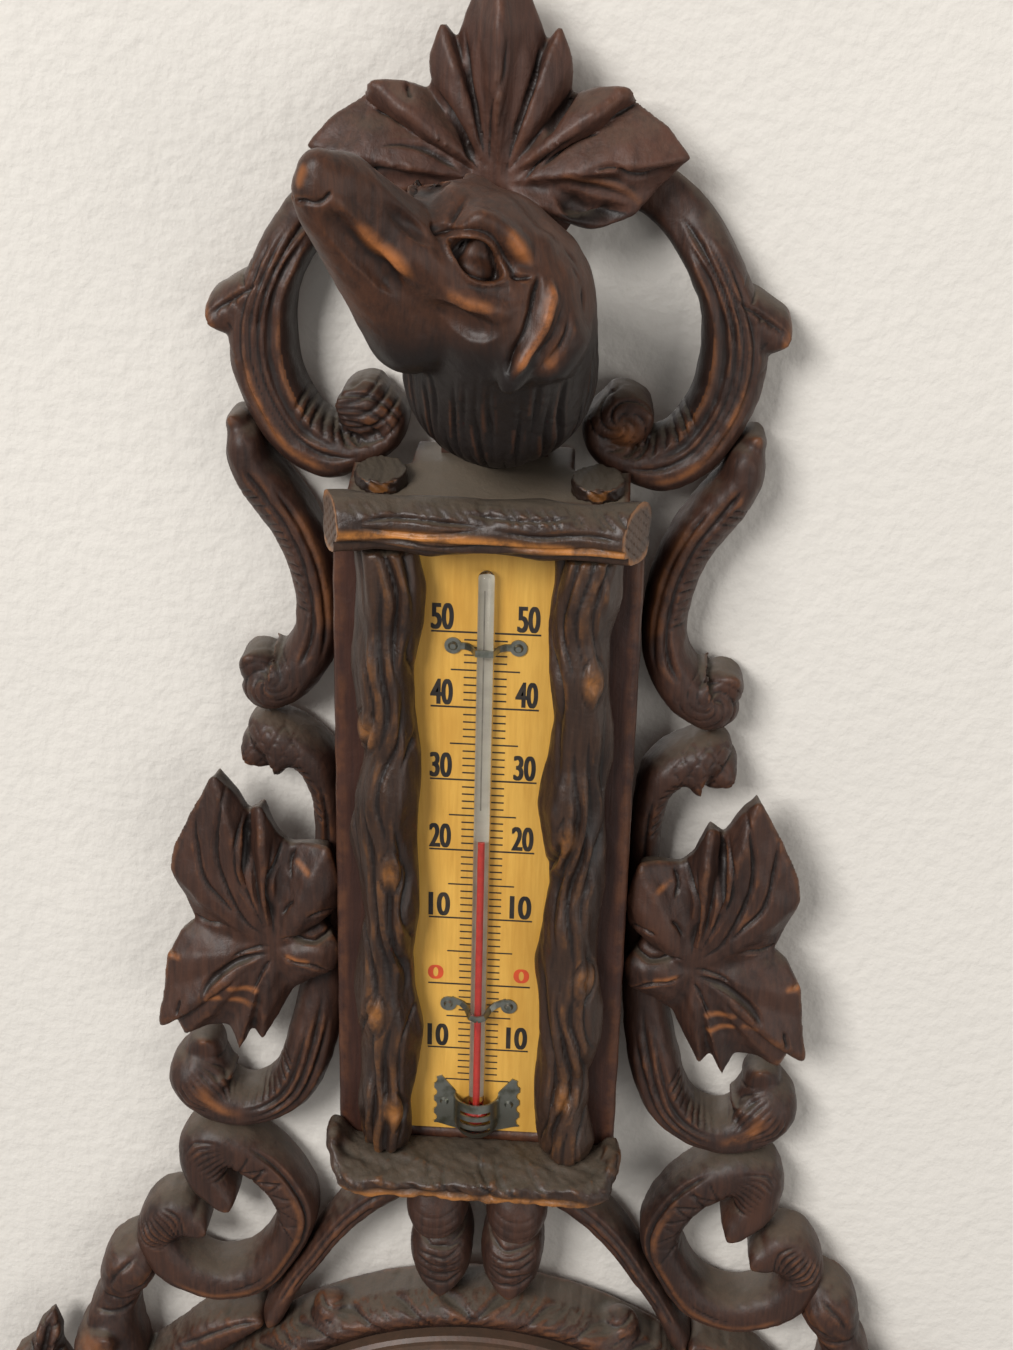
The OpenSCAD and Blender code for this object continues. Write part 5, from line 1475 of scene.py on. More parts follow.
@dataclass
class CaseDressing:
    """Case, roof, shelf and the logs."""
    finishes: Finishes
    log_x: float = 24.4
    roof_log_z: float = ROOF_TOP - 7.8
    stub_x: float = 25.5

    def build(self) -> None:
        """Dresses every wooden piece of the case."""
        self.board("case_board", 1.3)
        self.board("roof_board", 1.0)
        self.finishes.dress(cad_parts["crest_board"], "plain_wood")
        self.side_logs()
        self.roof_log()
        self.stubs()
        self.shelf()

    def done(self, carver: Carver, node: str, finish: str) -> None:
        """Completes a piece."""
        complete(carver, self.finishes, [node], finish, finish)

    def board(self, node: str, voxel: float) -> None:
        """A sawn board with soft edges.

        Args:
            node: the CAD node.
            voxel: width of a square in millimetres.
        """
        carver = Carver(fine_copy([node], f"sawn_{node}", voxel, 2))
        carver.shift += 0.12 * wave(carver.co, 12.0, 1.0)
        self.done(carver, node, "case_wood")

    def bark(self, node: str, voxel: float, rounds: int) -> Carver:
        """A fine copy of a log with its edges rounded off, ready to be carved.

        Args:
            node: the CAD node.
            voxel: width of a square in millimetres.
            rounds: rounds of smoothing.
        Returns:
            The fine mesh.
        """
        piece = fine_copy([node], f"bark_{node}", voxel, 0)
        melt(piece, rounds)
        return Carver(piece)

    def side_logs(self) -> None:
        """Two logs beside the scale, with long grooves and a few knots."""
        knots = {-1: ((-3.5, -128), (2.5, -166), (-1.5, -208), (3, -238)),
                 1: ((2, -112), (-2.5, -154), (3, -196), (-1, -232))}
        for side, name in SIDES.items():
            carver = self.bark(f"side_log_{name}", 0.6, 10)
            carver.co[:, 0] = side * (31 - (31 - np.abs(carver.co[:, 0])) * 1.13)
            carver.write()
            carver.read_normals()
            for dx, kz in knots[side]:
                kx = side * self.log_x + dx
                r = np.hypot(carver.co[:, 0] - kx, (carver.co[:, 2] - kz) * 0.6)
                bump = 1.5 * np.exp(-(r / 3.2) ** 2) - np.exp(-r ** 2)
                carver.shift += bump * carver.facing
                carver.worn = np.maximum(carver.worn, 0.5 * np.exp(-(r / 1.8) ** 2))
                for turn in (-1, 1):
                    bow = [(kx, kz - 8), (kx + turn * 2.2, kz - 3.5), (kx + turn * 2.6, kz),
                           (kx + turn * 2.2, kz + 3.5), (kx, kz + 8)]
                    carver.stroke(bow, 1.5, 0.8)
            long_grain(carver, 2, (CASE_TOP - 182, CASE_TOP), side * (self.log_x - 0.8), 7.4, 4, 11 + side,
                       2.3)
            self.done(carver, f"side_log_{name}", "bark_wood")

    def roof_log(self) -> None:
        """Log along the front of the roof, with one eye-shaped groove and a rubbed lower edge."""
        carver = self.bark("roof_log", 0.55, 10)
        z = self.roof_log_z
        for line, width, depth in (([(-30, z + 1.4), (-21, z + 3.4), (-8, z + 3), (1, z + 1.8)], 1.8, 1.2),
                                   ([(-30, z + 1.4), (-20, z), (-8, z + 0.4), (1, z + 1.8)], 1.8, 1.2),
                                   ([(1, z + 1.8), (12, z + 0.4), (24, z + 1.2), (33, z)], 2.0, 1.1),
                                   ([(-33, z - 2.4), (-14, z - 2.2), (6, z - 3), (32, z - 2.2)], 1.8, 0.9),
                                   ([(-6, z + 5), (8, z + 4), (22, z + 4.6)], 1.5, 0.7)):
            carver.stroke(line, width, depth)
        for k in range(22):
            x = -32 + 2.9 * k + 0.9 * math.sin(k * 2.7)
            carver.stroke([(x, z + 7), (x + 2.6, z + 4.4), (x + 4.6 + math.sin(k), z + 2)], 1.5,
                          0.35 + 0.3 * (k > 9), Cut.VEE, 0.3)
        carver.rub([(-33, z - 1.4), (-14, z - 0.9), (4, z - 1.8), (20, z - 3)], 4.2, 1.0)
        carver.rub([(22, z - 3.2), (34, z - 3.6)], 3.4, 0.8)
        long_grain(carver, 0, (-36, 36), z - 4, 2.4, 2, 5, 0.5)
        carver.apply()
        self.slant_ends(carver, z)
        self.done(carver, "roof_log", "bark_wood")

    def slant_ends(self, carver: Carver, z: float) -> None:
        """Saws both ends of the roof log at a slant, so that each shows an oval.

        Args:
            carver: the fine mesh.
            z: height of the log's middle.
        """
        middle = -41.6
        for side, wide in ((-1, 5.4), (1, 6.6)):
            normal = np.array([side * 13.0, -wide, 0]) / math.hypot(13, wide)
            over = np.clip((carver.co - np.array([side * (38.2 - wide), -49.2, z])) @ normal, 0, None)
            carver.co -= over[:, None] * normal
            sawn = ramp(over, 0.05, 0.4)
            rim = ramp(np.hypot(carver.co[:, 1] - middle, carver.co[:, 2] - z), 5.4, 6.8)
            carver.worn = np.where(sawn > 0.2, sawn * (0.5 * rim + 0.08), carver.worn)
            groove = np.abs(np.sin((carver.co[:, 2] - z) * 1.3 + carver.co[:, 1] * 1.1))
            carver.shift -= 0.35 * sawn * (1 - rim) * np.clip(1 - groove * 2.5, 0, 1)
        carver.write()
        carver.read_normals()

    def stubs(self) -> None:
        """Two sawn stubs on the roof, with slanting tool marks on their faces."""
        carver = Carver(fine_copy(["roof_stubs"], "sawn_roof_stubs", 0.4, 2))
        face = ramp(-carver.normal[:, 1] + 0.35 * carver.normal[:, 2], 0.75, 0.98)
        for side in (-1, 1):
            x = carver.co[:, 0] - side * self.stub_x
            near = np.abs(x) < 10
            line = x * 0.75 + (carver.co[:, 2] - ROOF_TOP) * 1.1
            mark = np.abs(line / 2.3 - np.round(line / 2.3 + 0.3 * np.sin(x)))
            carver.shift -= np.where(near, 0.55 * np.clip(1 - mark * 3, 0, 1) * face, 0)
        rim = ramp(face, 0.45, 0.75) * (1 - ramp(face, 0.85, 0.99))
        carver.worn = np.maximum(carver.worn, 0.35 * rim)
        # Everything but the sawn faces is darkened.
        carver.worn = np.where(face < 0.35, -0.6, carver.worn)
        carver.shift += (1 - face) * 0.3 * wave(carver.co * np.array([1, 0.25, 1]), 2.4, 3.0)
        self.done(carver, "roof_stubs", "bark_wood")

    def shelf(self) -> None:
        """Split log under the thermometer with oblique bark and a rubbed front edge."""
        carver = self.bark("base_shelf", 0.6, 8)
        for k in range(26):
            x = -38 + 2.9 * k + 1.9 * math.sin(k * 3.3)
            top = SHELF_BOTTOM + 11 + 2.5 * math.sin(k * 1.7)
            lean = 3.4 + 2.6 * math.sin(k * 2.1)
            line = [(x, top), (x + lean, top - 4), (x + 2.4 * lean, top - 7.5)]
            wide, deep = 1.3 + 0.7 * math.sin(k * 4.7), 0.6 + 0.4 * math.sin(k * 5.9)
            carver.stroke(line, wide, deep, Cut.VEE, 0.35)
        for low in (1.6, 4.2):
            line = from_shelf([(-38, low), (-12, low + 0.8), (14, low - 0.3), (38, low + 0.5)])
            carver.stroke(line, 1.8, 0.9)
        carver.rub(from_shelf([(-34, 3), (0, 3.4), (34, 3)]), 4.0, 0.6)
        carver.shift += 0.8 * wave(carver.co * (0.5, 1, 1), 7.0, 4.4) * carver.facing
        ends = ramp(carver.co[:, 0], 38.5, 40)
        carver.worn = np.maximum(carver.worn, 0.5 * ends)
        carver.shift += 0.3 * wave(carver.co, 4.5, 1.9)
        self.done(carver, "base_shelf", "bark_wood")


def lay_flat(x: float, y: float, z: float, wide: float, high: float, turn: float = 0.0,
             middle: Pair = (0.0, 0.0)) -> Matrix:
    """Lays a unit square into the front view.

    Args:
        x: its middle, across.
        y: the plane that it lies in.
        z: its middle, up.
        wide: its width.
        high: its height.
        turn: turn in degrees round the middle of the turn.
        middle: middle (x, z) of the turn.
    Returns:
        The matrix that does it.
    """
    return (Matrix.Translation((middle[0] * MM, 0, middle[1] * MM))
            @ Matrix.Rotation(math.radians(turn), 4, "Y")
            @ Matrix.Translation((x * MM, y * MM, z * MM)) @ Matrix.Rotation(math.pi / 2, 4, "X")
            @ Matrix.Diagonal((wide * MM, high * MM, 1, 1)))


def print_line(work: Work, x0: float, x1: float, z: float, y: float, width: float,
               turn: float = 0.0, middle: Pair = (0.0, 0.0)) -> None:
    """Adds one printed line that faces the viewer.

    Args:
        work: bmesh that takes it.
        x0: where it starts.
        x1: where it ends.
        z: its height.
        y: the plane that it lies in.
        width: its width.
        turn: turn in degrees round the middle.
        middle: middle (x, z) of the turn.
    """
    made = bmesh.ops.create_grid(work, x_segments=1, y_segments=1, size=0.5)["verts"]
    lay = lay_flat((x0 + x1) / 2, y, z, x1 - x0, width, turn, middle)
    bmesh.ops.transform(work, matrix=lay, verts=made)


def print_number(work: Work, body: str, box: tuple[float, float, float, float], y: float,
                 bold: float = 0.012, turn: float = 0.0, middle: Pair = (0.0, 0.0)) -> None:
    """Adds a printed number that fills a box.

    Args:
        work: bmesh that takes it.
        body: the digits.
        box: low x, high x, low z and high z.
        y: the plane that it lies in.
        bold: how much the strokes are thickened.
        turn: turn in degrees round the middle.
        middle: middle (x, z) of the turn.
    """
    curve = bpy.data.curves.new(f"number_{body}", "FONT")
    curve.body = body
    curve.size = 1.0
    curve.offset = bold
    source = new_object(f"number_{body}", curve)
    bpy.context.view_layer.update()
    mesh = bpy.data.meshes.new_from_object(source.evaluated_get(bpy.context.evaluated_depsgraph_get()))
    xs = [v.co.x for v in mesh.vertices]
    ys = [v.co.y for v in mesh.vertices]
    sx = (box[1] - box[0]) / (max(xs) - min(xs))
    sz = (box[3] - box[2]) / (max(ys) - min(ys))
    mesh.transform(lay_flat(box[0], y, box[2], sx, sz, turn, middle)
                   @ Matrix.Translation((-min(xs), -min(ys), 0)))
    for k in (-1, 0, 1):
        mesh.transform(Matrix.Translation((0.21 * MM * (1 if k >= 0 else -1), -0.002 * MM, 0)))
        work.from_mesh(mesh)
    bpy.data.objects.remove(source)
    bpy.data.meshes.remove(mesh)


@dataclass
class Thermometer:
    """Printed scale, tube, clips and guard."""
    finishes: Finishes
    face: float = -CASE_FRONT
    tick: float = 5.3
    middle: float = 8.5
    long: float = 13.4
    gap: float = 2.1
    number_high: float = 6.9
    number_wide: float = 5.2
    zero_high: float = 4.3
    zero_wide: float = 3.7
    tube_y: float = CASE_FRONT + 2.35
    tube_r: float = 2.0
    bulb_r: float = 3.2
    bulb_z: float = ZERO_Z - 39
    tube_top: float = ZERO_Z + 117
    strip_low: float = ZERO_Z - 34
    strip_top: float = ZERO_Z + 115
    strip_half: float = 0.95

    def build(self) -> None:
        """Dresses the thermometer."""
        self.finishes.dress(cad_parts["scale_plate"], "scale_wood")
        self.finishes.dress(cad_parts["spirit_column"], "spirit")
        for node in ("upper_clip", "lower_clip", "bulb_guard", "nails"):
            self.finishes.dress(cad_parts[node], "tin")
        self.scale()
        self.tube()
        self.enamel()

    def scale(self) -> None:
        """Lines and numbers of the scale from -15 to 50 degrees."""
        lines = bmesh.new()
        black = bmesh.new()
        red = bmesh.new()
        y = self.face - 0.03
        for value in range(-15, 51):
            z = ZERO_Z + value * DEGREE
            reach = self.long if value % 10 == 0 else self.middle if value % 5 == 0 else self.tick
            for side in (-1, 1):
                ends = sorted((side * self.gap, side * reach))
                print_line(lines, ends[0], ends[1], z, y, 0.42 if value % 10 else 0.48)
            if value % 10 == 0:
                wide = self.number_wide if value else self.zero_wide
                low_edge, high = (0.5, self.number_high) if value else (1.2, self.zero_high)
                for side, low in ((-1, -self.long + 0.1), (1, self.long - 0.5 - wide)):
                    box = (low, low + wide, z + low_edge, z + low_edge + high)
                    print_number(red if value == 0 else black, str(abs(value)), box, y)
        for name, work, finish in (("scale_lines", lines, "black_print"),
                                   ("scale_numbers", black, "black_print"),
                                   ("scale_zero", red, "red_print")):
            piece = finish_bmesh(name, work, False)
            self.finishes.dress(piece, finish)
            place(piece, [], "frame", "scale_wood")

    def tube(self) -> None:
        """Glass tube with its bulb, drawn solid round the column."""
        work = bmesh.new()
        low, top, r, bulb = self.bulb_z, self.tube_top, self.tube_r, self.bulb_r
        join = math.sqrt(bulb * bulb - r * r)
        profile = [(bulb * math.sin(a), low - bulb * math.cos(a)) for a in np.linspace(0.05, math.pi / 2, 8)]
        profile += [(bulb * math.cos(a), low + bulb * math.sin(a))
                    for a in np.linspace(0.12, math.asin(join / bulb), 6)]
        profile += [(r, low + join + 1), (r, top - r)]
        profile += [(r * math.cos(a), top - r + r * math.sin(a))
                    for a in np.linspace(0.2, math.pi / 2 - 0.05, 8)]
        turn = np.linspace(0, 2 * math.pi, 40, endpoint=False)
        skin(work, [[work.verts.new((d * math.cos(a) * MM, (d * math.sin(a) - self.tube_y) * MM, z * MM))
                     for a in turn] for d, z in profile])
        piece = finish_bmesh("glass_tube_solid", work)
        self.finishes.dress(piece, "tube_glass")
        place(piece, ["glass_tube"], "frame", "tube_glass")

    def enamel(self) -> None:
        """White strip in the glass behind the bore."""
        work = bmesh.new()
        made = bmesh.ops.create_grid(work, x_segments=6, y_segments=1, size=0.5)["verts"]
        top, low, half = self.strip_top, self.strip_low, self.strip_half
        lay = lay_flat(0, half - self.tube_y, (top + low) / 2, 2 * half, top - low)
        bmesh.ops.transform(work, matrix=lay, verts=made)
        for vert in work.verts:
            vert.co.y += 0.5 * MM * (1 - (vert.co.x / (half * MM)) ** 2)
        piece = finish_bmesh("enamel_strip", work)
        self.finishes.dress(piece, "white_enamel")
        place(piece, [], "frame", "tube_glass")
        bore = bmesh.new()
        print_line(bore, -0.34, -0.1, (top + low + 84) / 2, 0.2 - self.tube_y, top - low - 90)
        piece = finish_bmesh("empty_bore", bore, False)
        self.finishes.dress(piece, "bore_grey")
        place(piece, [], "frame", "tube_glass")


@dataclass
class Surround:
    """Dial board with its wreath, the branches round it and the bezel."""
    finishes: Finishes
    ring_r: float = 98.3

    def build(self) -> None:
        """Carves the surround."""
        self.board()
        for side, name in SIDES.items():
            self.branch(side, name)
        self.finishes.dress(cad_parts["bezel"], "bezel_wood")

    def board(self) -> None:
        """Wreath: slanting flutes round the rim, leaf tips and knobs."""
        carver = Carver(fine_copy(["dial_board"], "carved_dial_board", 1.0, 2))
        x = carver.co[:, 0]
        z = carver.co[:, 2] - DIAL_Z
        r = np.hypot(x, z)
        a = np.degrees(np.arctan2(z, x))
        rim = ramp(r, 86.6, 88.5) * carver.facing
        lean = (r - 92) * 0.55
        for pitch, width, depth, slope in ((9.0, 0.13, 1.3, 1.5), (1.7, 0.4, 0.4, 1.0), (3.1, 0.2, 0.5, 1.8)):
            phase = (a + slope * lean * np.sign(x) + 0.8 * np.sin(a * 0.7)) / pitch
            saw = np.abs(phase - np.round(phase)) / width
            carver.shift -= np.where(saw < 1, (1 - saw) ** 1.2, 0) * depth * rim
        complete(carver, self.finishes, ["dial_board"], "carved_wood", "carved_wood", (0.15, 5.0, 0.0))

    def round_dial(self, rows: list[Station]) -> list[Station]:
        """Places of rows that start with an angle and the distance outside the branch's ring."""
        return [((self.ring_r + out) * math.cos(math.radians(a)),
                 DIAL_Z + (self.ring_r + out) * math.sin(math.radians(a)), *rest) for a, out, *rest in rows]

    def branch(self, side: int, name: str) -> None:
        """Branch with long grooves.

        Args:
            side: -1 on the left, 1 on the right.
            name: the side's name.
        """
        polar = [(20, 10, 14), (9, 7.6, 13.5), (-4, 13.5, 13), (-17, 8, 14), (-31, 7.2, 13.5), (-42, 7.4, 13),
                 (-52, 12.5, 11), (-62, 6, 9)]
        stations = [(97.5, -309.5, 9, 15), (101.5, -315.5, 16, 20), (104.4, -322, 15.4, 19.5),
                    (106.6, -329, 12.6, 17.5),
                    (109, -338, 15, 20), (106.5, -352, 14.5)]
        stations += self.round_dial(polar)
        leaf = self.round_dial([(33, 14, 9, 17), (38, 10.5, 12, 17), (43.5, 8.6, 13.5, 17), (50, 5.5, 8, 17)])
        more = [[(111.5, -342.6, 12, 23.5), (114, -345.4, 12.4, 24)], leaf]
        m = Member([f"dial_branch_{name}"], f"carved_branch_{name}", side, stations, 18.0, more, 0.8)
        c = m.carver
        for line in ([(93, -320), (101, -327), (113, -325)], [(96, -325), (103, -331), (114, -331)],
                     [(99, -311), (105, -316), (108, -322)], [(93, -314), (97, -321), (104, -324)],
                     [(90, -346), (80, -340), (70, -335), (62, -333)], [(86, -338), (80, -334), (74, -328)],
                     [(76, -335), (71, -331), (66, -325)], [(93, -344), (90, -340), (84, -331)]):
            c.stroke([(side * x, z) for x, z in line], 2.2, 1.1)
        for k in range(9):
            x = 60 + 3.1 * k
            c.stroke([(side * x, -331 - 0.9 * k), (side * (x + 1.6), -325.5 - 0.7 * k)], 1.0, 0.4)
        bud = 1 - ramp(np.hypot(np.abs(c.co[:, 0]) - 113, c.co[:, 2] + 344), 4.4, 6.4)
        c.worn = np.maximum(c.worn, 0.35 * bud * c.facing)
        m.flute(-0.3, 0.26, 1.3, 0.3, 0.96, Cut.VEE, 0.04)
        m.flute(0.35, 0.26, 1.2, 0.34, 0.9, Cut.VEE, 0.04)
        m.cross_cuts(0.34, 0.9, 18, 0.2, 1.0, 3.0, 2.6, 0.7)
        complete(c, self.finishes, m.nodes, "carved_wood", "carved_wood", (0.2, 5.0, side))


@dataclass(frozen=True)
class HeadMark:
    """One mark on the head, in its own directions: snout, near side, crown."""
    line: list[Space]
    width: float
    depth: float
    kind: Cut = Cut.VEE
    fade: float = 0.3
    worn: float = 0.0
    both: bool = True


HEAD_MARKS = [HeadMark(*row) for row in (
    ([(37, 0, -9.4), (37, 2.9, -8), (35.8, 4.6, -7.2), (34.9, 5.4, -5.9), (34.6, 5.6, -4.5), (34.5, 5.3, -3)],
     1.7, 1.5, Cut.VEE, 0.15),
    ([(34.4, 5.6, -3.6), (29.1, 6.3, -5.2), (23.4, 6.4, -7), (18.8, 6.7, -7.8), (14.8, 9.2, -8.4),
      (10.6, 10, -9.8)], 5.0, 0.8, Cut.RIDGE, 0.15),
    ([(33.8, 5.6, -6.4), (28.7, 5.5, -8.5), (22.7, 6.3, -10.6), (17.2, 6.7, -11.5), (12.2, 7.2, -12.7),
      (8.2, 8.3, -14)], 6.0, 1.3, Cut.GOUGE, 0.2),
    ([(24, 6.2, 0.4), (19.5, 6.8, -0.9), (14.6, 8, -1.6), (11.3, 9.7, -1.7), (8.5, 10.6, -1.2)], 3.6, 0.8,
     Cut.GOUGE, 0.35),
    ([(10.5, 6.5, -0.4), (8.8, 8, 1.6), (7.4, 9.6, 2.2)], 3.4, 1.1, Cut.GOUGE),
    ([(9.5, 9.6, -0.4), (8.1, 8, 3), (6.1, 6, 6.6), (3.8, 3.2, 9.8)], 2.2, 0.9),
    ([(7.2, 9.8, 4.5), (5.5, 11.4, 7.5), (2.4, 12.6, 8.3), (-1.3, 14.6, 7.7), (-5.7, 16.2, 6.2),
      (-8.7, 17.8, 5.3)], 7.0, 1.5, Cut.RIDGE, 0.25, 0.0),
    ([(0.4, 13.4, 7.6), (-1.3, 14.6, 7.7), (-5.7, 16.2, 6.2), (-8.7, 17.8, 5.3)], 4.5, 0.0, Cut.RIDGE, 0.3,
     0.75),
    ([(-4.7, 16.8, 1), (-6.4, 18.2, 1.8), (-9.4, 19, 3.6)], 1.6, 1.3),
    ([(5.6, 13.9, -7.4), (2.2, 15.1, -8.3), (-1.8, 17.1, -7.4), (-6.2, 19.7, -5.7), (-8.9, 21.1, -1.6)], 6.5,
     1.2, Cut.RIDGE, 0.3),
    ([(4.6, 11.5, -11.6), (0.5, 13.6, -12.2), (-4.5, 16.6, -11.4), (-9.5, 20, -8)], 7.0, 1.5, Cut.GOUGE, 0.3),
    ([(-9.6, 19.2, 5.4), (-10.2, 21.2, 0.7), (-11.2, 22.4, -3.5), (-12, 23, -7.9), (-12, 23.4, -12.2),
      (-13.2, 23.8, -17)], 3.0, 2.2, Cut.VEE, 0.15),
    ([(-12, 19.6, 5.2), (-13.3, 21.8, 2.5), (-13.9, 23.5, -1.3), (-14.6, 23.6, -5.9), (-14.3, 24.1, -10.8),
      (-14.6, 24.7, -16.5)], 4.4, 1.6, Cut.RIDGE, 0.2, 0.85),
    ([(-20, 21, 3), (-22, 22.4, -3), (-23, 22, -10), (-22, 21.6, -17)], 13.0, 2.6, Cut.RIDGE, 0.3),
    ([(-24, 20.6, 2), (-27, 20, -6), (-28, 18.6, -14)], 13.0, 2.0, Cut.RIDGE, 0.3),
    ([(-18.4, 22.1, 3), (-19.6, 23.6, -2), (-20, 24.4, -8), (-18.4, 24.4, -15)], 2.4, 1.2, Cut.VEE, 0.3),
    ([(-16.5, 21.6, 4), (-17, 23, 0), (-17.4, 24, -5), (-16.8, 24, -11)], 1.2, 0.6),
    ([(-20.5, 19.6, 8), (-23, 21, 3), (-25, 21.5, -3)], 1.6, 0.7),
    ([(-17, 17.5, 9.6), (-20.5, 19, 6.6), (-23.5, 19.6, 2)], 1.4, 0.6),
    ([(-15, 14.5, 11.6), (-19, 16.6, 9.4), (-23, 18, 5.6)], 1.4, 0.5),
    ([(24, 6.6, -7.4), (18.8, 7, -8.2), (14.8, 9.2, -8.8), (10.6, 10, -10.2)], 2.6, 0.0, Cut.RIDGE, 0.25,
     0.95),
    ([(39, 1.5, -7.5), (39.5, 1, -4), (38.8, 1, -1)], 4.0, 0.0, Cut.RIDGE, 0.3, 0.5, False),
    ([(5.6, 13.9, -7.4), (2.2, 15.1, -8.3), (-1.8, 17.1, -7.4), (-6.2, 19.7, -5.7)], 4.0, 0.0, Cut.RIDGE, 0.3,
     0.6),
    ([(28, 6.5, -5.4), (20, 6.6, -7.6), (14.8, 9.2, -8.4), (9, 10.6, -10)], 4.6, 0.0, Cut.RIDGE, 0.3, 0.8),
    ([(-17, 21.6, -2), (-20, 23, -8), (-19, 24, -14)], 8.0, 0.0, Cut.RIDGE, 0.4, 0.5),
    ([(30, 0, 3.4), (20, 0, 3.2), (13, 1, 3)], 3.6, 0.0, Cut.RIDGE, 0.4, 0.35, False),
    ([(-24, 20, 0), (-25.5, 20, -8), (-25, 20, -15)], 3.4, 0.0, Cut.RIDGE, 0.4, 0.5))]


@dataclass
class HoundHead:
    """Hound's head with fur along the neck."""
    finishes: Finishes
    at: Space = (-7.5, -60.0, -3.5)
    turn: float = -136.0
    lift: float = 29.0
    roll: float = -16.0
    eye_at: Space = (1.5, 13.7, 0.2)
    eye_along: Space = (-0.916, 0.375, 0.14)
    eye_up: Space = (-0.1, -0.23, 0.968)
    eye_size: Pair = (5.8, 3.5)
    ball: float = 3.7
    pit_depth: float = 5.5
    hair_count: int = 64
    fur_lanes: int = 46
    neck_top: Space = (3.0, -44.0, -18.0)
    neck_foot: Space = (1.0, -24.0, -62.0)

    def build(self) -> None:
        """Carves the head."""
        piece = fine_copy(["hound_head"], "carved_hound_head", 0.5, 0)
        melt(piece, 26)
        carver = Carver(piece)
        spin = (Matrix.Rotation(math.radians(self.turn), 3, "Z")
                @ Matrix.Rotation(math.radians(-self.lift), 3, "Y")
                @ Matrix.Rotation(math.radians(self.roll), 3, "X"))
        self.spin = np.array(spin)
        local = self.lowered((carver.co - np.array(self.at)) @ self.spin)
        carver.co = np.array(self.at) + local @ self.spin.T
        carver.write()
        melt(piece, 6)
        carver = Carver(piece)
        pit = self.far_socket(carver)
        self.local = (carver.co - np.array(self.at)) @ self.spin
        # The neck is darker towards its foot, and the far eye's pit gets painted shade.
        carver.worn = -1.0 * ramp(-carver.co[:, 2], 14, 29) * (1 - ramp(self.local[:, 0], 5, 13)) - pit
        for mark in HEAD_MARKS:
            for side in ((1, -1) if mark.both else (1,)):
                self.mark(carver, mark, side)
        for side in (1, -1):
            self.eye(carver, side)
        self.fur(carver)
        self.hairs(carver)
        complete(carver, self.finishes, ["hound_head"], "head_wood", "head_wood", (0.1, 5.0, 0.0), (9, 0.3))

    def lowered(self, local: Array) -> Array:
        """Lowers the bridge of the nose between the eyes.

        Args:
            local: points in the head's own directions.
        Returns:
            The moved points.
        """
        a, b, c = local.T
        crest = np.interp(a, [4, 8, 16, 21, 30], [2.4, 2.6, 3.2, 3.6, 4.6])
        top = crest - 0.045 * b * b
        share = ramp(a, 5.5, 10) * (1 - ramp(a, 25, 33)) * (np.abs(b) < 14)
        out = local.copy()
        out[:, 2] = np.where(c > top, c - (c - top) * share * 0.95, c)
        brow = 8.2 - 0.65 * a + 0.7 * (b + 10)
        share = ramp(a, -3, 1) * ramp(-b, 1.5, 4) * (1 - ramp(a, 9, 14))
        out[:, 2] = np.where(out[:, 2] > brow, out[:, 2] - (out[:, 2] - brow) * share, out[:, 2])
        return out

    def far_socket(self, carver: Carver) -> Array:
        """Sinks the far eye's socket behind the bridge and lowers the brow over it.

        Args:
            carver: the fine mesh of the head.

        Returns:
            How far each point lies in the socket, 0 to 1.
        """
        away = carver.co - np.array(self.at)
        local = away @ self.spin
        u, v = away @ np.array(VIEW_RIGHT), away @ np.array(VIEW_DOWN)
        upper = (local[:, 2] > -1) & (local[:, 0] > -8) & (local[:, 0] < 17)
        rim = np.interp(u, [-10.3, -0.6, 2.5], [-10.9, -10.2, -11.6])
        share = ramp(u, -12, -10) * (1 - ramp(u, 1.5, 4)) * upper
        carver.co += np.outer(np.clip(rim - v, 0, None) * share, VIEW_DOWN)
        v = (carver.co - np.array(self.at)) @ np.array(VIEW_DOWN)
        corners = [(-10.6, -10.2), (-0.2, -9.6), (-3.4, -6.0)]
        inside = np.full(len(u), 1e9)
        for (ax, ay), (bx, by) in zip(corners, corners[1:] + corners[:1]):
            length = math.hypot(bx - ax, by - ay)
            inside = np.minimum(inside, ((bx - ax) * (v - ay) - (by - ay) * (u - ax)) / length)
        pit = ramp(inside, -0.6, 1.5) * upper
        carver.co += np.outer(self.pit_depth * pit, VIEW_AHEAD)
        carver.co = np.where(pit[:, None] > 0.01, carver.relaxed(30), carver.co)
        carver.write()
        carver.read_normals()
        return pit

    def mark(self, carver: Carver, mark: HeadMark, side: int) -> None:
        """Cuts one mark into the near or the far side.

        Args:
            carver: the fine mesh.
            mark: the mark.
            side: 1 for the near side, -1 for the far side.
        """
        path = curve_at(np.array(mark.line), 5)
        p = self.local * np.array([1, side, 1])
        low, high = path.min(0) - mark.width, path.max(0) + mark.width
        near = np.nonzero(((p > low) & (p < high)).all(1))[0]
        q = p[near]
        best = np.full(len(q), 1e9)
        run = np.zeros(len(q))
        start = 0.0
        for a, b in zip(path[:-1], path[1:]):
            ab = b - a
            length = np.linalg.norm(ab)
            t = np.clip((q - a) @ ab / length ** 2, 0, 1)
            dist = np.linalg.norm(q - a - t[:, None] * ab, axis=1)
            run = np.where(dist < best, start + t * length, run)
            best = np.minimum(best, dist)
            start += length
        share = run / start
        taper = ramp(share, -0.02, mark.fade) * ramp(1 - share, -0.02, mark.fade)
        half = mark.width / 2 * (0.4 + 0.6 * taper)
        cut = np.where(best < half, cut_profile(mark.kind, best / half), 0)
        carver.shift[near] -= cut * mark.depth * taper
        if mark.worn:
            share = (1 - ramp(best, 0, half)) * taper
            carver.worn[near] += (mark.worn - carver.worn[near]) * share

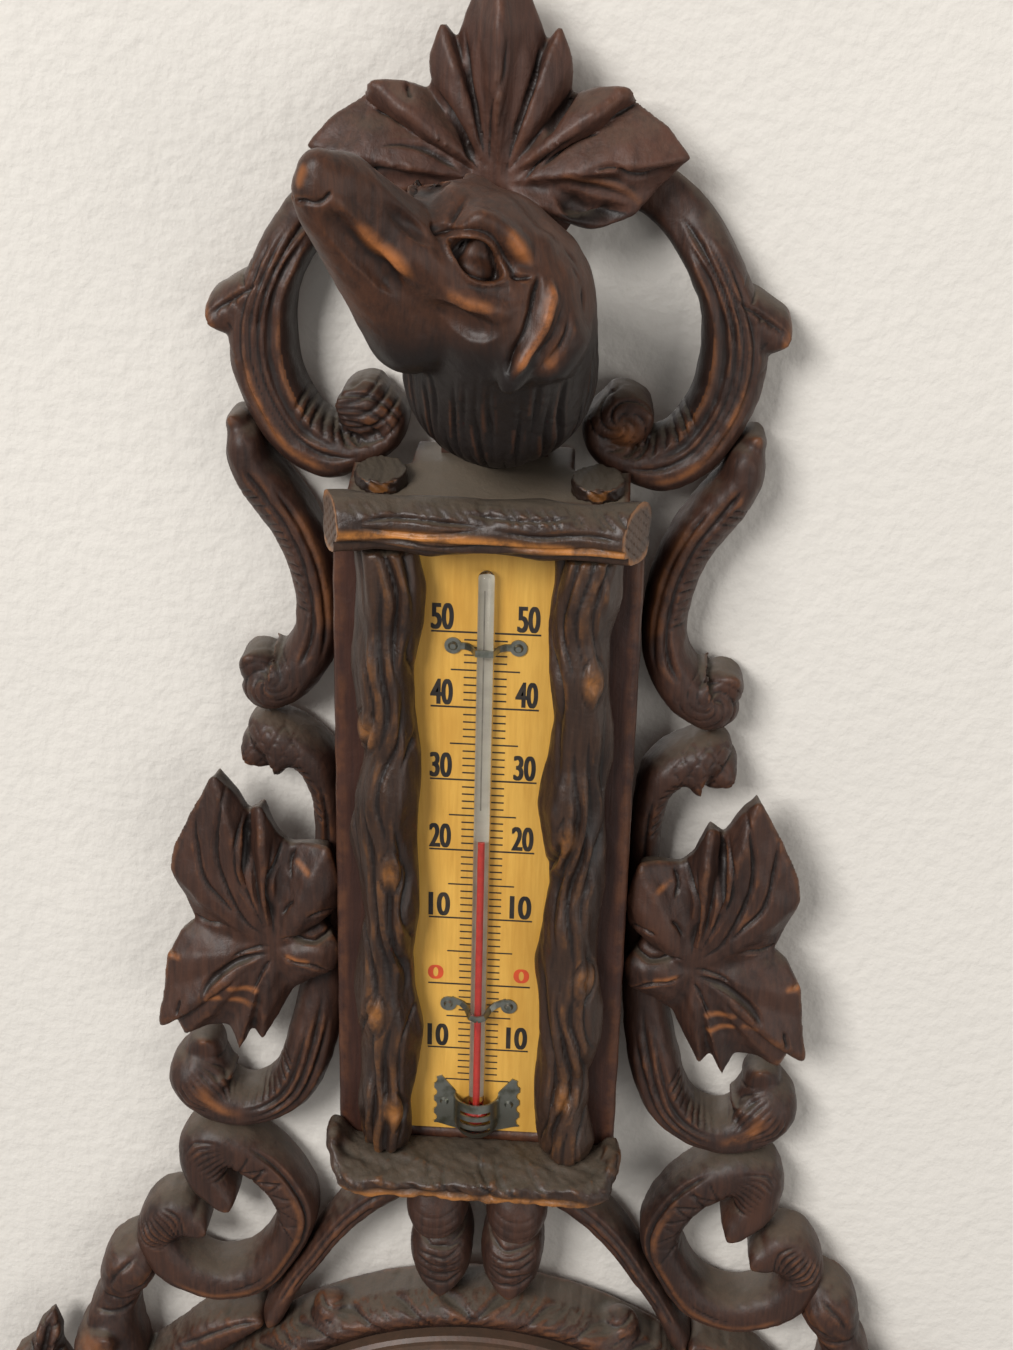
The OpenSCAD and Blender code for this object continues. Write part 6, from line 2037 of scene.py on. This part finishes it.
    def eye(self, carver: Carver, side: int) -> None:
        """Cuts one eye: hollow, ball, lids and the fold over them.

        Args:
            carver: the fine mesh.
            side: 1 for the near side, -1 for the far side.
        """
        along, up = np.array(self.eye_along), np.array(self.eye_up)
        d = self.local * np.array([1, side, 1]) - np.array(self.eye_at)
        x, z = d @ along, d @ up
        out = d @ np.cross(along, up)
        near = (np.abs(out) < 8) & (np.hypot(x, z) < 14)
        u, v = x / self.eye_size[0], z / self.eye_size[1]
        r = np.sqrt(u * u + v * v * (1 + 0.7 * u * u))
        hole = 1 - ramp(r, 0.86, 1.04)
        ball = np.sqrt(np.clip(self.ball ** 2 - (x - 1.1) ** 2 - (z + 0.1) ** 2, 0, None))
        carver.shift -= np.where(near, hole * (3.3 - np.clip(ball - 0.9, 0, 2.8)), 0)
        fold = 0.65 * np.exp(-((r - 1.55) / 0.14) ** 2) * ramp(v, -0.2, 0.5)
        lid = 0.75 * np.exp(-((r - 1.2) / 0.13) ** 2) - fold
        carver.shift += np.where(near, lid, 0)

    def hairs(self, carver: Carver) -> None:
        """Short hair scratches on cheek and under the jaw.

        Args:
            carver: the fine mesh.
        """
        draw = np.random.default_rng(9)
        for side in (1, -1):
            for _ in range(self.hair_count):
                a = draw.uniform(-6, 24)
                drop = draw.uniform(0, 1)
                start = np.array([a, 7.0 + 0.46 * (24 - a) * 0.9, -13 - 7 * drop])
                line = [start, start + (-3.5, 1.0, -1.5), start + (-7.5, 2.2, -3.8)]
                self.mark(carver, HeadMark([tuple(v) for v in line], 1.1, 0.5, Cut.VEE, 0.4), side)

    def fur(self, carver: Carver) -> None:
        """Long grooves down the neck that draw together at its foot.

        Args:
            carver: the fine mesh.
        """
        top, foot = np.array(self.neck_top), np.array(self.neck_foot)
        axis = (foot - top) / np.linalg.norm(foot - top)
        d = carver.co - top
        s = d @ axis / np.linalg.norm(foot - top)
        side = np.array([1.0, 0, 0])
        front = np.cross(axis, side)
        angle = np.arctan2(d @ side, d @ front)
        phase = (angle * self.fur_lanes / (2 * math.pi) + 0.45 * np.sin(s * 3 + angle * 3)
                 + 0.15 * np.sin(s * 9 + angle * 7))
        lane = np.floor(phase + 0.5)
        saw = np.abs(phase - lane)
        strength = np.clip(0.55 + 0.5 * np.sin(lane * 2.4 + s * 6) + 0.25 * np.sin(lane * 5.1), 0, 1)
        span = ramp(s, 0.02 + 0.1 * np.sin(lane * 1.9), 0.42) * (1 - ramp(s, 0.97, 1.06))
        carver.shift -= np.clip(1 - saw / 0.26, 0, 1) * strength * span * 1.3
        streak = np.clip(1 - np.abs(phase + 0.42 - np.floor(phase + 0.92)) / 0.2, 0, 1) * (strength > 0.8)
        share = streak * span * (1 - ramp(s, 0.55, 0.9))
        carver.worn += (0.3 - carver.worn) * share * 0.6


@dataclass
class Barometer:
    """Dial, glass, hands, drum and movement."""
    finishes: Finishes
    dial_y: float = -30.96
    rim_r: float = 54.5
    mark_r: float = 51.5
    five_r: float = 50.5
    ten_r: float = 48.5
    first_turn: float = -125.0
    mark_turn: float = 2.5
    first_value: int = 73

    def build(self) -> None:
        """Dresses the instrument."""
        looks = {
            "dial_glass": "clear_glass", "glass_ring": "brass", "dial_plate": "dial_print", "drum": "brass",
            "drum_screws": "brass", "base_plate": "brass", "capsule": "capsule_metal", "spring_foot": "steel",
            "main_spring": "spring_steel", "capsule_post": "brass", "lever": "steel", "link_rod": "steel",
            "rocker": "steel", "rocker_stand": "brass", "movement_bridge": "brass", "chain": "steel",
            "pointer_arbor": "steel", "pointer": "blued_steel", "hairspring": "spring_steel",
            "adjusting_screw": "steel", "set_hand": "brass", "set_knob": "brass",
        }
        for node, look in looks.items():
            self.finishes.dress(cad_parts[node], look)
        self.dial()

    def dial(self) -> None:
        """Printed ring of lines and plain numbers."""
        work = bmesh.new()
        for k in range(101):
            turn = self.first_turn + self.mark_turn * k
            low = self.ten_r if k % 10 == 0 else self.five_r if k % 5 == 0 else self.mark_r
            wide = 0.28 if k % 5 else 0.45
            print_line(work, -wide / 2, wide / 2, (low + self.rim_r) / 2, self.dial_y, self.rim_r - low, turn,
                       (0.0, DIAL_Z))
            if k % 10 == 0:
                value = str(self.first_value + k // 10)
                print_number(work, value, (-2.6, 2.6, 40.5, 46.5), self.dial_y, 0.015, turn, (0.0, DIAL_Z))
        piece = finish_bmesh("dial_scale", work, False)
        self.finishes.dress(piece, "black_print")
        place(piece, [], "frame", "dial_print")


@dataclass
class Studio:
    """Wall, light and camera."""
    finishes: Finishes
    camera_at: Space = (0.028537, -0.464628, 0.074501)
    lens: float = 52.0
    wall_grey: Space = (0.72, 0.69, 0.64)
    wall_half: float = 2.5
    wall_at: Space = (0, 0.0002, -0.2)
    lamp_white: Space = (1.0, 0.98, 0.96)
    world_light: float = 0.32

    def build(self) -> None:
        """Sets up the studio."""
        self.wall()
        self.camera()
        self.lamp("key", (-1.1, -1.95, 1.1), (0, 0, -0.15), 0.95, 61.0, self.lamp_white)
        self.lamp("back", (-0.6, 1.5, 0.5), (0, 0, -0.2), 1.2, 16.0, self.lamp_white)
        self.lamp("fill", (1.3, -1.4, -0.1), (0, 0, -0.2), 1.2, 8.5, (1.0, 0.97, 0.94))
        world = bpy.data.worlds.new("studio")
        world.use_nodes = True
        sky = world.node_tree.nodes["Background"]
        Tree(world.node_tree).fill(sky, {"Color": rgba(self.lamp_white), "Strength": self.world_light})
        bpy.context.scene.world = world
        bpy.context.scene.view_settings.view_transform = "Standard"

    def wall(self) -> None:
        """Pale plaster wall behind the piece."""
        work = bmesh.new()
        made = bmesh.ops.create_grid(work, x_segments=1, y_segments=1, size=self.wall_half)["verts"]
        lay = Matrix.Translation(self.wall_at) @ Matrix.Rotation(math.pi / 2, 4, "X")
        bmesh.ops.transform(work, matrix=lay, verts=made)
        piece = finish_bmesh("wall", work, False)
        material, t, face = shader("plaster")
        low = tuple(c * 0.93 for c in self.wall_grey)
        t.fill(face, {"Base Color": t.mix(t.noise(18.0, 4.0), rgba(low), rgba(self.wall_grey)),
                      "Roughness": 0.85, "Normal": t.bump(t.noise(240.0, 4.0), 0.5, 0.0016)})
        clear = t.add("ShaderNodeBsdfTransparent")
        behind = t.add("ShaderNodeNewGeometry").outputs["Backfacing"]
        passing = t.math("MAXIMUM", behind, t.add("ShaderNodeLightPath").outputs["Is Shadow Ray"])
        both = t.add("ShaderNodeMixShader", {0: passing, 1: face.outputs[0], 2: clear.outputs[0]})
        t.fill(t.tree.nodes["Material Output"], {"Surface": both.outputs[0]})
        piece.data.materials.append(material)

    def camera(self) -> None:
        """Camera at the photograph's place."""
        data = bpy.data.cameras.new("camera")
        data.lens = self.lens
        data.sensor_width = 36.0
        data.sensor_fit = "AUTO"
        data.clip_start = 0.01
        eye = bpy.data.objects.new("camera", data)
        bpy.context.scene.collection.objects.link(eye)
        turn = Matrix((VIEW_RIGHT, [-c for c in VIEW_DOWN], [-c for c in VIEW_AHEAD])).transposed()
        eye.matrix_world = Matrix.Translation(self.camera_at) @ turn.to_4x4()
        bpy.context.scene.camera = eye

    def lamp(self, name: str, at: Space, to: Space, size: float,
             power: float, colour: Colour) -> None:
        """Adds a soft square light.

        Args:
            name: its name.
            at: where it stands.
            to: the point that it looks at.
            size: its edge.
            power: its strength in watts.
            colour: its colour.
        """
        data = bpy.data.lights.new(name, "AREA")
        data.size = size
        data.energy = power
        data.color = colour
        light = bpy.data.objects.new(name, data)
        light.location = at
        light.rotation_euler = (Vector(to) - Vector(at)).to_track_quat("-Z", "Y").to_euler()
        bpy.context.scene.collection.objects.link(light)


def main() -> None:
    """Builds every sub-assembly in order."""
    logging.basicConfig(level=logging.INFO, format="%(name)s: %(message)s")
    finishes = Finishes()
    CarvedLeaves(finishes).build()
    HoundHead(finishes).build()
    for side in SIDES:
        Openwork(finishes, side).build()
    CaseDressing(finishes).build()
    Thermometer(finishes).build()
    Surround(finishes).build()
    Barometer(finishes).build()
    Studio(finishes).build()


if __name__ == "__main__":
    main()
